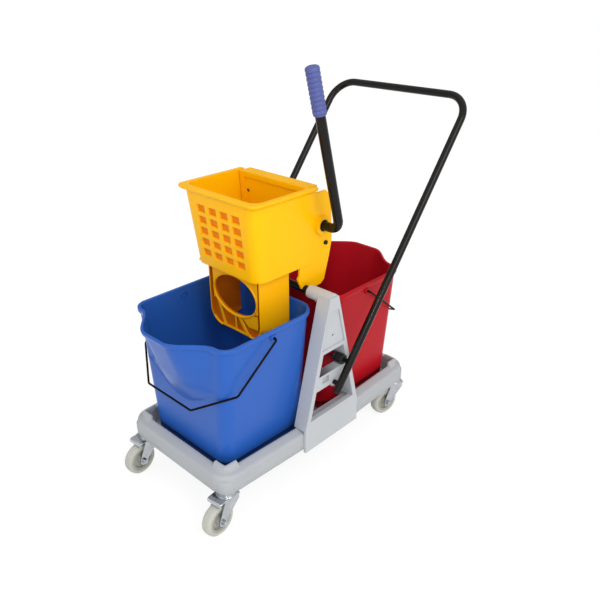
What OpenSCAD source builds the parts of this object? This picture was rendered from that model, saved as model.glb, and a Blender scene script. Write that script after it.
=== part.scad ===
// Double mop bucket trolley: a moulded base on four swivel castors carries two buckets side by side,
// two A-shaped side frames with a cross tube, a tubular push handle and a lever wringer over one bucket.
// Millimetres, +Z up. The wringer bucket is at -X, the push handle at +X, the lever on the -Y side.

/* [Base tray] */
// Length of the moulded base over its end walls
base_l = 680; // [600:1:760]
// Width of the moulded base over its side walls at the ends
base_w = 360; // [330:1:400]
// Outward flare of the side walls towards the side frames
flare = 8; // [0:1:16]
// Half length of the straight middle part of the side walls
mid_hl = 100; // [98:1:130]
// Height of the vertical outer wall
base_h = 46; // [40:1:60]
// Width of the rim from the outer wall to the bay
rim_w = 26; // [22:1:32]
// Rise of the rim from its outer edge to its inner edge
rim_rise = 6; // [4:1:12]
// Wall thickness of the base moulding
base_t = 4; // [3:0.5:6]
// Radius of the outer corners
base_r = 46; // [44:1:60]
// Height of the bay floor top above the underside
floor_top = 12; // [8:1:20]
// Rise of the raised corner guides above the rim
lobe_rise = 10; // [6:1:16]
// Distance of the inner faces of the corner guides from the outer walls
lobe_in = 28; // [26:1:36]
// Length of each arm of a corner guide
lobe_arm = 32; // [24:1:60]
// Width of the corner guides
lobe_w = 22; // [18:1:24]
// width of the flat top of the corner guides
lobe_flat = 7; // [5:1:9]
// Diameter of the corner bosses over the castors
boss_d = 46; // [46:1:56]
// Height of the corner bosses
boss_h = 32; // [24:1:40]
// Height of the beam between the two bays
beam_h = 30; // [20:1:36]
// Width of the beam between the two bays
beam_w = 24; // [16:1:28]

/* [Castors] */
// Outside diameter of the wheels
wheel_d = 80; // [70:1:84]
// Width of the tyre
tyre_w = 26; // [20:1:28]
// Diameter of the wheel core
core_d = 58; // [48:1:62]
// Height from the floor to the underside of the base
castor_h = 106; // [104:1:125]
// Horizontal distance from the swivel axis to the axle
trail = 32; // [24:1:36]
// Distance of the swivel axes from the end walls
swivel_in_x = 26; // [24:1:34]
// Distance of the swivel axes from the side walls
swivel_in_y = 27; // [24:1:34]
// Direction in which the castors at the wringer end trail at rest
front_yaw = 184; // [150:1:210]
// Direction in which the castors at the handle end trail at rest
rear_yaw = 168; // [120:1:210]
// Diameter of the castor stem
stem_d = 12; // [10:1:14]
// Diameter of the axle bolt
axle_d = 8; // [6:1:10]
// Thickness of the fork sheet
fork_t = 3; // [2:0.5:4]
// Width of the wheel hub
hub_w = 33; // [28:1:34]

/* [Side frames] */
// Half length of a side frame at its foot
foot_hw = 97; // [80:1:110]
// Rise of the upright part of the foot above the rim
foot_rise = 3; // [2:1:12]
// Drop of the foot below the underside of the base
foot_drop = 8; // [0:1:12]
// Thickness of the foot panel outside the base wall
foot_t = 7; // [6:1:12]
// Depth of the side frame across the trolley
frame_depth = 38; // [32:1:42]
// Half width of the side frame at its top
apex_hw = 15; // [12:1:16]
// Height of the side frame top above the underside of the base
apex_z = 379; // [360:1:400]
// Width of the side frame legs
leg_w = 13; // [10:1:18]
// Bottom of the lower window
win1_lo = 75; // [70:1:100]
// Depth of the lip at the bottom of the lower window
sill_lip = 13; // [10:1:20]
// Drop of the sill behind that lip
sill_drop = 13; // [6:1:14]
// Top of the lower window and underside of the rung
win1_hi = 150; // [130:1:160]
// Bottom of the upper window and top of the rung
win2_lo = 187; // [176:1:200]
// Top of the upper window
win2_hi = 243; // [225:1:260]
// Depth of the recess in the upper panel
panel_in = 4; // [2:0.5:6]
// Diameter of the hole in the upper panel
panel_hole = 6; // [4:0.5:8]

/* [Cross tube] */
// Height of the cross tube axis above the underside of the base
bar_z = 371; // [360:1:380]
// Diameter of the cross tube
bar_d = 20; // [18:1:20]
// Diameter of the bosses that hold the cross tube
bar_boss_d = 32; // [28:1:34]
// Distance of the inner ends of the bosses from the middle
bar_boss_in = 119.5; // [115:0.5:130]

/* [Push handle] */
// Diameter of the handle tube
handle_d = 19; // [18:1:22]
// Diameter of the lever tube
tube_d = 22; // [20:1:24]
// Wall of the bent tubes
tube_t = 1.5; // [1:0.25:2]
// Lean of the handle from the vertical
handle_lean = 37.8; // [30:0.1:45]
// Distance of the handle legs from the middle
handle_y = 214.5; // [210:0.5:225]
// Position along the trolley of the lower stud
stud_x = 3; // [0:1:10]
// Height of the lower stud above the underside of the base
stud_z = 152; // [150:1:160]
// Distance between the two studs of one leg
stud_pitch = 58; // [50:1:62]
// Distance from the lower stud to the push bar axis
handle_l = 776; // [700:1:820]
// Length of the leg below the lower stud
handle_tail = 20; // [16:1:40]
// Bend radius of the handle corners
handle_r = 62; // [45:1:80]
// Diameter of the stud shoulders
stud_d = 12; // [10:1:14]
// Diameter of the stud threads
stud_thread = 8; // [6:1:8]
// Diameter of the stud bosses in the side frames
stud_boss = 24; // [20:1:26]

/* [Buckets] */
// Height of the bucket rim above the underside of the base
rim_z = 349.5; // [340:0.5:350]
// Half width of the bucket wall at the rim
bk_w_top = 160; // [150:1:164]
// Half width of the bucket wall at the bottom
bk_w_bot = 133; // [125:1:136]
// Distance of the inner end wall from the middle of the trolley at the rim
bk_in_top = 23; // [23:1:30]
// Distance of the inner end wall from the middle of the trolley at the bottom
bk_in_bot = 30; // [28:1:40]
// Distance of the outer end wall from the middle of the trolley at the rim
bk_out_top = 300; // [290:1:302]
// Distance of the outer end wall from the middle of the trolley at the bottom
bk_out_bot = 296.5; // [285:0.5:298]
// Corner radius at the inner end
bk_r_in = 50; // [40:1:56]
// Corner radius at the outer end
bk_r_out = 30; // [24:1:36]
// Wall thickness of the buckets
bk_t = 3; // [2.5:0.5:4]
// Width of the rolled lip
bk_lip = 5; // [3:0.5:6]
// Height of the rolled lip
bk_lip_h = 11; // [8:1:14]
// Reach of the pouring spout at the rim
spout = 60; // [40:1:62]
// Half width of the flat part of the spout
spout_in = 30; // [20:1:40]
// Half width at which the spout meets the end wall
spout_out = 130; // [110:1:132]
// Height at which the spout starts in the middle of the end wall
spout_lo = 170; // [150:1:200]
// Height at which the spout starts at the corners
spout_hi = 234; // [210:1:250]

/* [Bails] */
// Distance of the bail pivots from the middle of the trolley
ear_x = 163; // [150:1:176]
// Height of the bail pivots above the underside of the base
ear_z = 329; // [322:1:331]
// Diameter of the bail ears on the buckets
ear_d = 16; // [14:1:18]
// Distance of the outer face of the ears from the middle
ear_out = 164; // [162:0.5:166]
// Diameter of the bail wire
wire_d = 5; // [4:0.5:6]
// Distance of the bail legs from the middle
bail_y = 172; // [170:0.5:176]
// Angle below the horizontal at which the bails hang
bail_rest = 39; // [34:1:44]
// Length of a bail leg to the first bend
bail_r1 = 148; // [140:1:160]
// Reach of the bail to its cross part
bail_r2 = 224; // [210:1:235]
// Half width of the bail at the first bend
bail_y1 = 168; // [160:1:172]
// Half width of the bail at its cross part
bail_y2 = 78; // [60:1:90]

/* [Wringer basket] */
// Height of the basket bottom above the underside of the base
wr_lo = 432; // [428:1:440]
// Height of the basket rim above the underside of the base
wr_hi = 619; // [600:1:640]
// Distance of the front face from the middle at the bottom
wr_front_lo = 153; // [145:1:160]
// Distance of the front face from the middle below the rim
wr_front_hi = 171; // [160:1:180]
// Half width at the bottom
wr_w_lo = 107; // [104:1:110]
// Half width below the rim
wr_w_hi = 120; // [114:1:124]
// Thickness of the front wall with its pockets
wr_front_t = 10; // [8:0.5:12]
// Thickness of the side walls
wr_side_t = 6; // [5:0.5:7]
// Radius of the front corners
wr_r = 28; // [20:1:34]
// Width of the rim lip
wr_lip = 8; // [4:0.5:10]
// Number of pocket columns in the front wall
pocket_cols = 4; // [3:1:5]
// Number of pocket rows in the front wall
pocket_rows = 5; // [4:1:6]
// Width of a pocket
pocket_w = 28; // [20:1:30]
// Height of a pocket
pocket_h = 19; // [14:1:22]
// Pitch of the pocket columns
pocket_px = 38; // [32:1:42]
// Pitch of the pocket rows
pocket_pz = 27; // [22:1:30]
// Depth of the pockets
pocket_d = 7; // [4:0.5:7.5]
// Rearmost reach of the cheeks
cheek_x = 84; // [76:1:90]
// gap between the cross tube seat and the jaw behind it
jaw_gap = 0.6; // [0.4:0.1:1]
// Underside of the hook jaw
jaw_lo = 351; // [350.5:0.5:354]

/* [Wringer chute] */
// Distance of the chute front from the middle
ch_front = 133; // [125:1:140]
// Distance of the chute rear edges from the middle
ch_rear = 39.5; // [39.5:0.5:52]
// Half width of the chute
ch_w = 88; // [80:1:92]
// Bottom of the chute above the underside of the base
ch_lo = 272; // [265:1:290]
// Thickness of the chute walls
ch_t = 4; // [3:0.5:6]
// Thickness of the chute front
ch_front_t = 8; // [6:0.5:10]
// Diameter of the round opening in the chute front
ch_hole = 134; // [110:1:136]
// Height of the middle of the round opening
ch_hole_z = 368; // [360:1:376]

/* [Lever and press] */
// Position along the trolley of the lever axle
axle_x = 44; // [40:1:48]
// Height of the lever axle above the underside of the base
axle_z = 522; // [518:1:528]
// Forward lean of the lever at rest
lever_lean = 14.8; // [5:0.1:20]
// Distance of the lever from the middle
lever_y = 168; // [160:1:175]
// Length of the lever from its axle to the end of the grip
lever_l = 370; // [330:1:400]
// Bend radius of the lever
lever_r = 28; // [24:1:36]
// Diameter of the lever grip
grip_d = 30; // [27:1:34]
// Length of the lever grip
grip_l = 98; // [90:1:130]
// Outside diameter of the axle bushes
bush_d = 28; // [26:1:30]
// Diameter of the axle bosses on the cheeks
axle_boss = 46; // [40:1:48]
// Radius at which the cam roller turns
cam_r = 22; // [20:0.5:24]
// Angle of the cam arms at rest
cam_a = -52; // [-56:1:-48]
// Diameter of the cam roller
roller_d = 12; // [10:1:12]
// Position along the trolley of the press plate pivot
pivot_x = 4; // [2:1:6]
// Height of the press plate pivot above the underside of the base
pivot_z = 446; // [442:1:450]
// Diameter of the press plate pivot pins
pivot_d = 8; // [6:1:8]
// Thickness of the press plate
plate_t = 5; // [4:0.5:6]
// Depth of the flange along the top of the press plate
flange_d = 32; // [24:1:36]
// Rear face of the ribs that the cam roller pushes
rib_x = 46; // [44:0.5:46]
// Position along the trolley of the tie rod between the cheeks
tie_x = 61; // [58:1:66]
// Height of the tie rod above the underside of the base
tie_z = 474; // [468:1:480]
// Diameter of the tie rod
tie_d = 10; // [8:1:12]

/* [Fits] */
// Radial running clearance of axles and pivots
run_fit = 0.08; // [0.05:0.01:0.1]
// Radial clearance of fixed pins and bolts in their holes
pin_fit = 0.1; // [0.05:0.05:0.2]
// Gap between pieces that move past each other
gap = 0.4; // [0.3:0.1:0.6]

/* [Hidden] */
half_l = base_l / 2;
half_w = base_w / 2;
swivel_x = half_l - swivel_in_x;
swivel_y = half_w - swivel_in_y;
rim_top = base_h + rim_rise;
foot_h = rim_top + foot_rise;
wall_y = half_w + flare;
frame_out = wall_y + foot_t;
frame_in = frame_out - frame_depth;
handle_x = stud_x + handle_l * sin(handle_lean);
x_hi = handle_x + handle_d / 2;
x_lo = -(swivel_x - trail * cos(front_yaw) + wheel_d / 2);
x_shift = -(x_hi + x_lo) / 2;
axle_drop = castor_h - wheel_d / 2;
fork_in = hub_w / 2 + gap;
race_t = 4;
crown_t = 7.2;
nut_w = 21.5;
stem_over = 12;
bk_z0 = floor_top + gap;
wr_tilt = atan((wr_w_hi - wr_w_lo) / (wr_hi - wr_lo));
front_tilt = atan((wr_front_hi - wr_front_lo) / (wr_hi - wr_lo));
slot_r = bar_d / 2 + gap;
plate_lo = pivot_z - 6;

// moves a piece from the middle of the base underside to the place of the whole trolley
module place() {
    translate([x_shift, 0, castor_h]) children();
}

// half width of a side frame at a height
function frame_hw(z) = foot_hw - (foot_hw - apex_hw) * (z - foot_h) / (apex_z - foot_h);

// linear step from a to b
function mix(a, b, t) = a + (b - a) * t;

// smooth step from 0 to 1
function smooth(t) = t <= 0 ? 0 : t >= 1 ? 1 : t * t * (3 - 2 * t);

// cylinder along Y, centred at y
module ycyl(d, l, x, y, z, fn = 48) {
    translate([x, y, z]) rotate([90, 0, 0]) cylinder(d = d, h = l, center = true, $fn = fn);
}

// outline in XZ drawn out along Y about y
module yplate(pts, t, y) {
    translate([0, y, 0]) rotate([90, 0, 0]) linear_extrude(height = t, center = true) polygon(pts);
}

// section of the hollow rim, measured inwards from the outer wall
rim_section = [[0, 0], [0, base_h - 4], [3, base_h], [rim_w - 5, rim_top], [rim_w, rim_top],
    [rim_w, floor_top - base_t], [rim_w - base_t, floor_top - base_t], [rim_w - base_t, rim_top - base_t],
    [base_t + 3, base_h - base_t], [base_t, base_h - base_t - 4], [base_t, 0]];

// run of the slanted sides, and their angle from the corner to the middle part
slant_run = half_l - base_r - mid_hl;
slant_far = norm([slant_run, flare + base_r]);
slant_a = acos(base_r / slant_far) - atan2(slant_run, flare + base_r);

// flat faces on one rounded corner
corner_n = 8;

// stations on the corner sx, sy between the angles a and b, each with its inward direction
function rim_arc(sx, sy, a, b) = [for (i = [0 : corner_n]) let (
        t = mix(a, b, i / corner_n),
        q = [cos(t), sin(t)]
    ) [[sx * (half_l - base_r), sy * (half_w - base_r)] + base_r * q, -q]];

// station where a slanted side meets the middle part
function rim_joint(sx, sy) = [[sx * mid_hl, sy * wall_y],
    [-sx * sin(slant_a), -sy * (1 + cos(slant_a))] / (1 + cos(slant_a))];

// stations round the whole rim
rim_path = concat(
    rim_arc(1, 1, 0, 90 - slant_a), [rim_joint(1, 1), rim_joint(-1, 1)],
    rim_arc(-1, 1, 90 + slant_a, 180),
    rim_arc(-1, -1, 180, 270 - slant_a), [rim_joint(-1, -1), rim_joint(1, -1)],
    rim_arc(1, -1, 270 + slant_a, 360));

// hollow rim, its section carried round the path
module rim() {
    n = len(rim_section);
    m = len(rim_path);
    polyhedron(
        points = [for (q = rim_path) for (c = rim_section)
            [q[0][0] + c[0] * q[1][0], q[0][1] + c[0] * q[1][1], c[1]]],
        faces = [for (i = [0 : m - 1]) for (j = [0 : n - 1]) let (
                i1 = (i + 1) % m,
                j1 = (j + 1) % n
            ) [i * n + j, i * n + j1, i1 * n + j1, i1 * n + j]]);
}

// section of a corner guide, measured inwards from the outer wall
lobe_z0 = base_h;
lobe_z1 = rim_top + lobe_rise;
lobe_section = [[lobe_in, lobe_z0], [lobe_in, lobe_z1], [lobe_in - lobe_flat, lobe_z1],
    [lobe_in - lobe_w, lobe_z0 + 0.5], [lobe_in - lobe_w, lobe_z0]];

// straight arm of a corner guide with its slanted end
module lobe_run() {
    intersection() {
        translate([-lobe_arm, 0, 0]) rotate([90, 0, 90]) linear_extrude(height = lobe_arm)
            polygon([for (p = lobe_section) [base_r - p[0], p[1]]]);
        yplate([[2, lobe_z0 - 1], [2, lobe_z1 + 1], [-lobe_arm + lobe_rise, lobe_z1 + 1],
            [-lobe_arm, lobe_z0 - 1]], 4 * base_r, 0);
    }
}

// raised guide on one corner of the rim
module lobe(sx, sy) {
    translate([sx * (half_l - base_r), sy * (half_w - base_r), 0])
        mirror([sx < 0 ? 1 : 0, 0, 0]) mirror([0, sy < 0 ? 1 : 0, 0]) {
            lobe_run();
            mirror([1, -1, 0]) lobe_run();
            rotate_extrude(angle = 90, $fn = 64) polygon([for (p = lobe_section) [base_r - p[0], p[1]]]);
        }
}

// positions of the screws that hold the side frames
frame_screw_x = 70;
frame_screw_z = 26;
frame_screw_d = 5;

module base_tray() {
    floor_x = half_l - rim_w + base_t / 2;
    floor_y = half_w - rim_w + base_t / 2;
    color("silver") place() difference() {
        union() {
            rim();
            translate([0, 0, floor_top - base_t]) linear_extrude(height = base_t)
                polygon([[-floor_x, -floor_y], [-mid_hl, -floor_y - flare], [mid_hl, -floor_y - flare],
                    [floor_x, -floor_y], [floor_x, floor_y], [mid_hl, floor_y + flare],
                    [-mid_hl, floor_y + flare], [-floor_x, floor_y]]);
            translate([0, 0, (floor_top + beam_h) / 2 - 1])
                cube([beam_w, 2 * (floor_y + flare), beam_h - floor_top + 2], center = true);
            for (sx = [-1, 1], sy = [-1, 1]) {
                translate([sx * swivel_x, sy * swivel_y, 0]) cylinder(d = boss_d, h = boss_h, $fn = 64);
                lobe(sx, sy);
            }
        }
        for (sx = [-1, 1], sy = [-1, 1]) {
            translate([sx * swivel_x, sy * swivel_y, -1])
                cylinder(d = stem_d + 2 * pin_fit, h = boss_h + 2, $fn = 48);
            translate([sx * swivel_x, sy * swivel_y, boss_h])
                cylinder(d = nut_w + 1, h = stem_over + 2, $fn = 48);
            ycyl(frame_screw_d + 2 * pin_fit, base_t * 2, sx * frame_screw_x,
                sy * (wall_y - base_t / 2), frame_screw_z);
        }
    }
}

// one side frame, s = -1 on the lever side
module side_frame(s) {
    lap_z = rim_top + 1;
    win = leg_w / cos(atan((foot_hw - apex_hw) / (apex_z - foot_h)));
    depth_mid = s * (frame_out + frame_in) / 2;
    recess_lo = win2_hi + 9;
    recess_hi = apex_z - 34;
    sill_z = win1_lo - sill_drop;
    sill_top = win1_lo + 8;
    sill_in = 3;
    difference() {
        union() {
            yplate([[-foot_hw, -foot_drop], [foot_hw, -foot_drop], [foot_hw, lap_z], [-foot_hw, lap_z]],
                foot_t, s * (frame_out - foot_t / 2));
            yplate([[-foot_hw, lap_z], [foot_hw, lap_z], [foot_hw, foot_h], [apex_hw, apex_z],
                [-apex_hw, apex_z], [-foot_hw, foot_h]], frame_depth, depth_mid);
            ycyl(bar_boss_d, frame_out - 4 - bar_boss_in, 0, s * (frame_out - 4 + bar_boss_in) / 2, bar_z, 64);
        }
        yplate([[-frame_hw(win1_lo) + win, win1_lo], [frame_hw(win1_lo) - win, win1_lo],
            [frame_hw(win1_hi) - win, win1_hi], [-frame_hw(win1_hi) + win, win1_hi]],
            frame_depth + 2, depth_mid);
        yplate([[-frame_hw(sill_z) + win + sill_in, sill_z], [frame_hw(sill_z) - win - sill_in, sill_z],
            [frame_hw(sill_top) - win - sill_in, sill_top], [-frame_hw(sill_top) + win + sill_in, sill_top]],
            2 * (frame_depth - sill_lip), s * frame_in);
        yplate([[-frame_hw(win2_lo) + win, win2_lo], [frame_hw(win2_lo) - win, win2_lo],
            [frame_hw(win2_hi) - win, win2_hi], [-frame_hw(win2_hi) + win, win2_hi]],
            frame_depth + 2, depth_mid);
        yplate([[-frame_hw(recess_lo) + 7, recess_lo], [frame_hw(recess_lo) - 7, recess_lo],
            [frame_hw(recess_hi) - 7, recess_hi], [-frame_hw(recess_hi) + 7, recess_hi]],
            2 * panel_in, s * frame_out);
        yplate([[-frame_hw(recess_lo) + 9, recess_lo + 1], [frame_hw(recess_lo) - 9, recess_lo + 1],
            [frame_hw(recess_hi) - 9, recess_hi - 4], [-frame_hw(recess_hi) + 9, recess_hi - 4]],
            2 * (frame_depth - panel_in - 4), s * frame_in);
        translate([0, s * frame_in, (win1_hi + win2_lo) / 2])
            cube([2 * (frame_hw(win2_lo) - win), 26, win2_lo - win1_hi + 2], center = true);
        translate([-stud_boss / 2 - 14, s * frame_out, (win1_hi + win2_lo) / 2 + 3])
            cube([24, 16, 18], center = true);
        ycyl(panel_hole, 40, 0, s * frame_out, (win2_hi + apex_z) / 2 - 30);
        ycyl(bar_d + 2 * pin_fit, 2 * (frame_out - 8 - bar_boss_in), 0, s * bar_boss_in, bar_z, 64);
        translate([0, s * cross_screw_y, bar_z - bar_boss_d]) cylinder(d = cross_screw_d + 2 * pin_fit,
            h = bar_boss_d, $fn = 32);
        for (k = [0, 1]) {
            ycyl(stud_thread + 2 * pin_fit, 80, stud_at(k)[0], s * frame_out, stud_at(k)[1]);
            ycyl(washer_d + 2 * nut_clear, 2 * nut_seat, stud_at(k)[0], s * (frame_out - stud_boss_l + 0.3 - nut_seat),
                stud_at(k)[1], 48);
        }
        for (sx = [-1, 1]) ycyl(frame_screw_d + 2 * pin_fit, 2 * foot_t - 3, sx * frame_screw_x, s * wall_y,
            frame_screw_z);
    }
    difference() {
        for (k = [0, 1]) ycyl(stud_boss, stud_boss_l, stud_at(k)[0], s * (frame_out - stud_boss_l / 2),
            stud_at(k)[1], 48);
        for (k = [0, 1]) ycyl(stud_thread + 2 * pin_fit, 80, stud_at(k)[0], s * frame_out, stud_at(k)[1]);
    }
}

// place of a handle stud in XZ, 0 is the lower one
function stud_at(k) = [stud_x + k * stud_pitch * sin(handle_lean), stud_z + k * stud_pitch * cos(handle_lean)];
stud_boss_l = 26;

// washers and nuts on the handle studs, and the room round them
washer_d = 17;
washer_t = 1.6;
stud_nut_d = 15;
stud_nut_h = 6.5;
nut_clear = 1.5;
nut_seat = frame_depth;

cross_screw_y = 137;
cross_screw_d = 4.8;

module left_side_frame() {
    color("silver") place() side_frame(-1);
}

module right_side_frame() {
    color("silver") place() side_frame(1);
}

module side_frame_screws() {
    color("gray") place() for (sx = [-1, 1], s = [-1, 1]) {
        ycyl(frame_screw_d, 9, sx * frame_screw_x, s * (wall_y - base_t + 4.5), frame_screw_z);
        ycyl(10, 3, sx * frame_screw_x, s * (wall_y - base_t - 1.5), frame_screw_z);
    }
}

module cross_tube() {
    color("black") place() difference() {
        ycyl(bar_d, 2 * (frame_out - 8.5), 0, 0, bar_z, 64);
        ycyl(bar_d - 4, 2 * frame_out, 0, 0, bar_z, 64);
        for (s = [-1, 1]) translate([0, s * cross_screw_y, bar_z - bar_d])
            cylinder(d = cross_screw_d + 2 * pin_fit, h = bar_d, $fn = 32);
    }
}

module cross_tube_screws() {
    color("gray") place() for (s = [-1, 1]) {
        translate([0, s * cross_screw_y, bar_z - bar_boss_d / 2 - 2]) cylinder(d = cross_screw_d, h = 12, $fn = 32);
        translate([0, s * cross_screw_y, bar_z - bar_boss_d / 2 - 4]) cylinder(d = 9, h = 3, $fn = 32);
    }
}

// moves a piece from the lower studs of the handle along the lean of its legs
module on_handle() {
    translate([stud_x, 0, stud_z]) rotate([0, handle_lean, 0]) children();
}

// solid bent rod of the handle with diameter d
module handle_rod(d) {
    for (s = [-1, 1]) {
        translate([0, s * handle_y, -handle_tail]) cylinder(d = d, h = handle_tail + handle_l - handle_r, $fn = 48);
        translate([0, s * (handle_y - handle_r), handle_l - handle_r]) rotate([90, 0, 90])
            rotate([0, 0, s > 0 ? 0 : 90]) rotate_extrude(angle = 90, $fn = 64)
                translate([handle_r, 0]) circle(d = d, $fn = 48);
    }
    translate([0, 0, handle_l]) rotate([90, 0, 0])
        cylinder(d = d, h = 2 * (handle_y - handle_r), center = true, $fn = 48);
}

module push_handle() {
    color("black") place() on_handle() difference() {
        handle_rod(handle_d);
        handle_rod(handle_d - 2 * tube_t);
        for (s = [-1, 1], k = [0, 1]) translate([0, s * (handle_y - handle_d / 2), k * stud_pitch])
            rotate([90, 0, 0]) cylinder(d = stud_d + 2 * pin_fit, h = handle_d / 2, center = true, $fn = 48);
    }
}

module handle_studs() {
    stud_in = 3;
    color("black") place() on_handle() for (s = [-1, 1], k = [0, 1]) {
        ycyl(stud_d, handle_y - handle_d / 2 + stud_in - frame_out, 0,
            s * (handle_y - handle_d / 2 + stud_in + frame_out) / 2, k * stud_pitch);
        ycyl(stud_thread, stud_boss_l + 12, 0, s * (frame_out - stud_boss_l / 2 - 6), k * stud_pitch);
    }
}

module handle_nuts() {
    seat = frame_out - stud_boss_l;
    color("silver") place() on_handle() for (s = [-1, 1], k = [0, 1]) difference() {
        union() {
            ycyl(washer_d, washer_t, 0, s * (seat - washer_t / 2), k * stud_pitch);
            ycyl(stud_nut_d, stud_nut_h, 0, s * (seat - washer_t - stud_nut_h / 2), k * stud_pitch, 6);
        }
        ycyl(stud_thread + 2 * pin_fit, 2 * frame_depth, 0, s * seat, k * stud_pitch);
    }
}

module handle_plugs() {
    color("dimgray") place() on_handle() for (s = [-1, 1]) {
        translate([0, s * handle_y, -handle_tail - 3]) cylinder(d = handle_d, h = 3, $fn = 48);
        translate([0, s * handle_y, -handle_tail - 1])
            cylinder(d = handle_d - 2 * tube_t - 2 * pin_fit, h = 10, $fn = 48);
    }
}

// moves a piece to one castor, along its trail direction
module on_castor(sx, sy, yaw) {
    translate([sx * swivel_x, sy * swivel_y, 0]) rotate([0, 0, yaw]) children();
}

// moves a piece to the axle of a castor
module on_axle() {
    translate([trail, 0, -axle_drop]) rotate([90, 0, 0]) children();
}

module castor_stems() {
    head_lo = race_t + crown_t + 2 * gap + 4;
    color("gainsboro") place() for (sx = [-1, 1], sy = [-1, 1]) on_castor(sx, sy, 0) {
        translate([0, 0, -race_t]) cylinder(d = 46, h = race_t, $fn = 64);
        translate([0, 0, -head_lo]) cylinder(d = stem_d, h = head_lo + boss_h + stem_over, $fn = 48);
        translate([0, 0, -head_lo]) cylinder(d = 22, h = 4, $fn = 48);
    }
}

module castor_nuts() {
    color("gainsboro") place() for (sx = [-1, 1], sy = [-1, 1]) on_castor(sx, sy, 0) difference() {
        translate([0, 0, boss_h]) cylinder(d = nut_w, h = 9, $fn = 6);
        translate([0, 0, boss_h - 1]) cylinder(d = stem_d + 2 * pin_fit, h = 12, $fn = 48);
    }
}

// pressed fork of one castor
module fork() {
    top = -race_t - gap;
    low = -axle_drop;
    difference() {
        union() {
            translate([0, 0, top - crown_t]) cylinder(d = 46, h = crown_t, $fn = 64);
            translate([0, 0, top - crown_t + fork_t / 2])
                cube([40, 2 * (fork_in + fork_t), fork_t], center = true);
            for (s = [-1, 1]) {
                yplate([[-20, top - crown_t], [20, top - crown_t], [trail + 11, low + 8], [trail + 11, low],
                    [trail - 11, low], [-20, top - crown_t - 16]], fork_t, s * (fork_in + fork_t / 2));
                ycyl(22, fork_t, trail, s * (fork_in + fork_t / 2), low);
            }
        }
        translate([0, 0, top - crown_t - 1]) cylinder(d = stem_d + 2 * run_fit, h = crown_t + 2, $fn = 48);
        ycyl(axle_d + 2 * pin_fit, 80, trail, 0, low);
    }
}

// axle bolt and nut of one castor
module axle_set() {
    face = fork_in + fork_t;
    on_axle() {
        cylinder(d = axle_d, h = 2 * face + 14, center = true, $fn = 48);
        translate([0, 0, face]) cylinder(d = 14.5, h = 5, $fn = 6);
        difference() {
            translate([0, 0, -face - 6]) cylinder(d = 14.5, h = 6, $fn = 6);
            translate([0, 0, -face - 7]) cylinder(d = axle_d + 2 * pin_fit, h = 8, $fn = 48);
        }
    }
}

// moulded core of one wheel
module core() {
    r0 = axle_d / 2 + run_fit;
    r1 = core_d / 2;
    on_axle() rotate_extrude($fn = 96)
        polygon([[r0, -hub_w / 2], [11, -hub_w / 2], [12, -5], [r1 - 6, -4], [r1 - 5, -tyre_w / 2 + 2],
            [r1, -tyre_w / 2 + 2], [r1, tyre_w / 2 - 2], [r1 - 5, tyre_w / 2 - 2], [r1 - 6, 4], [12, 5],
            [11, hub_w / 2], [r0, hub_w / 2]]);
}

// tread ring of one wheel
module tyre() {
    r0 = core_d / 2 + pin_fit;
    r1 = wheel_d / 2;
    h = tyre_w / 2;
    on_axle() rotate_extrude($fn = 96)
        polygon([[r0, -h + 1], [r1 - 5, -h], [r1 - 1.5, -h + 3], [r1 - 0.3, -h + 7], [r1, -3], [r1, 3],
            [r1 - 0.3, h - 7], [r1 - 1.5, h - 3], [r1 - 5, h], [r0, h - 1]]);
}

module fork_fl() {
    color("gainsboro") place() on_castor(-1, -1, front_yaw) fork();
}

module fork_fr() {
    color("gainsboro") place() on_castor(-1, 1, front_yaw) fork();
}

module fork_rl() {
    color("gainsboro") place() on_castor(1, -1, rear_yaw) fork();
}

module fork_rr() {
    color("gainsboro") place() on_castor(1, 1, rear_yaw) fork();
}

module axle_fl() {
    color("silver") place() on_castor(-1, -1, front_yaw) axle_set();
}

module axle_fr() {
    color("silver") place() on_castor(-1, 1, front_yaw) axle_set();
}

module axle_rl() {
    color("silver") place() on_castor(1, -1, rear_yaw) axle_set();
}

module axle_rr() {
    color("silver") place() on_castor(1, 1, rear_yaw) axle_set();
}

module core_fl() {
    color("darkgray") place() on_castor(-1, -1, front_yaw) core();
}

module core_fr() {
    color("darkgray") place() on_castor(-1, 1, front_yaw) core();
}

module core_rl() {
    color("darkgray") place() on_castor(1, -1, rear_yaw) core();
}

module core_rr() {
    color("darkgray") place() on_castor(1, 1, rear_yaw) core();
}

module tyre_fl() {
    color("darkkhaki") place() on_castor(-1, -1, front_yaw) tyre();
}

module tyre_fr() {
    color("darkkhaki") place() on_castor(-1, 1, front_yaw) tyre();
}

module tyre_rl() {
    color("darkkhaki") place() on_castor(1, -1, rear_yaw) tyre();
}

module tyre_rr() {
    color("darkkhaki") place() on_castor(1, 1, rear_yaw) tyre();
}

// steps round the bucket outline
arc_n = 6;
side_n = 3;
end_n = 2;
spout_n = 16;

// points on an arc from angle a to angle b
function arc(cx, cy, r, a, b, n) = [for (i = [0 : n - 1]) [cx + r * cos(mix(a, b, i / (n - 1))),
    cy + r * sin(mix(a, b, i / (n - 1)))]];

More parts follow.
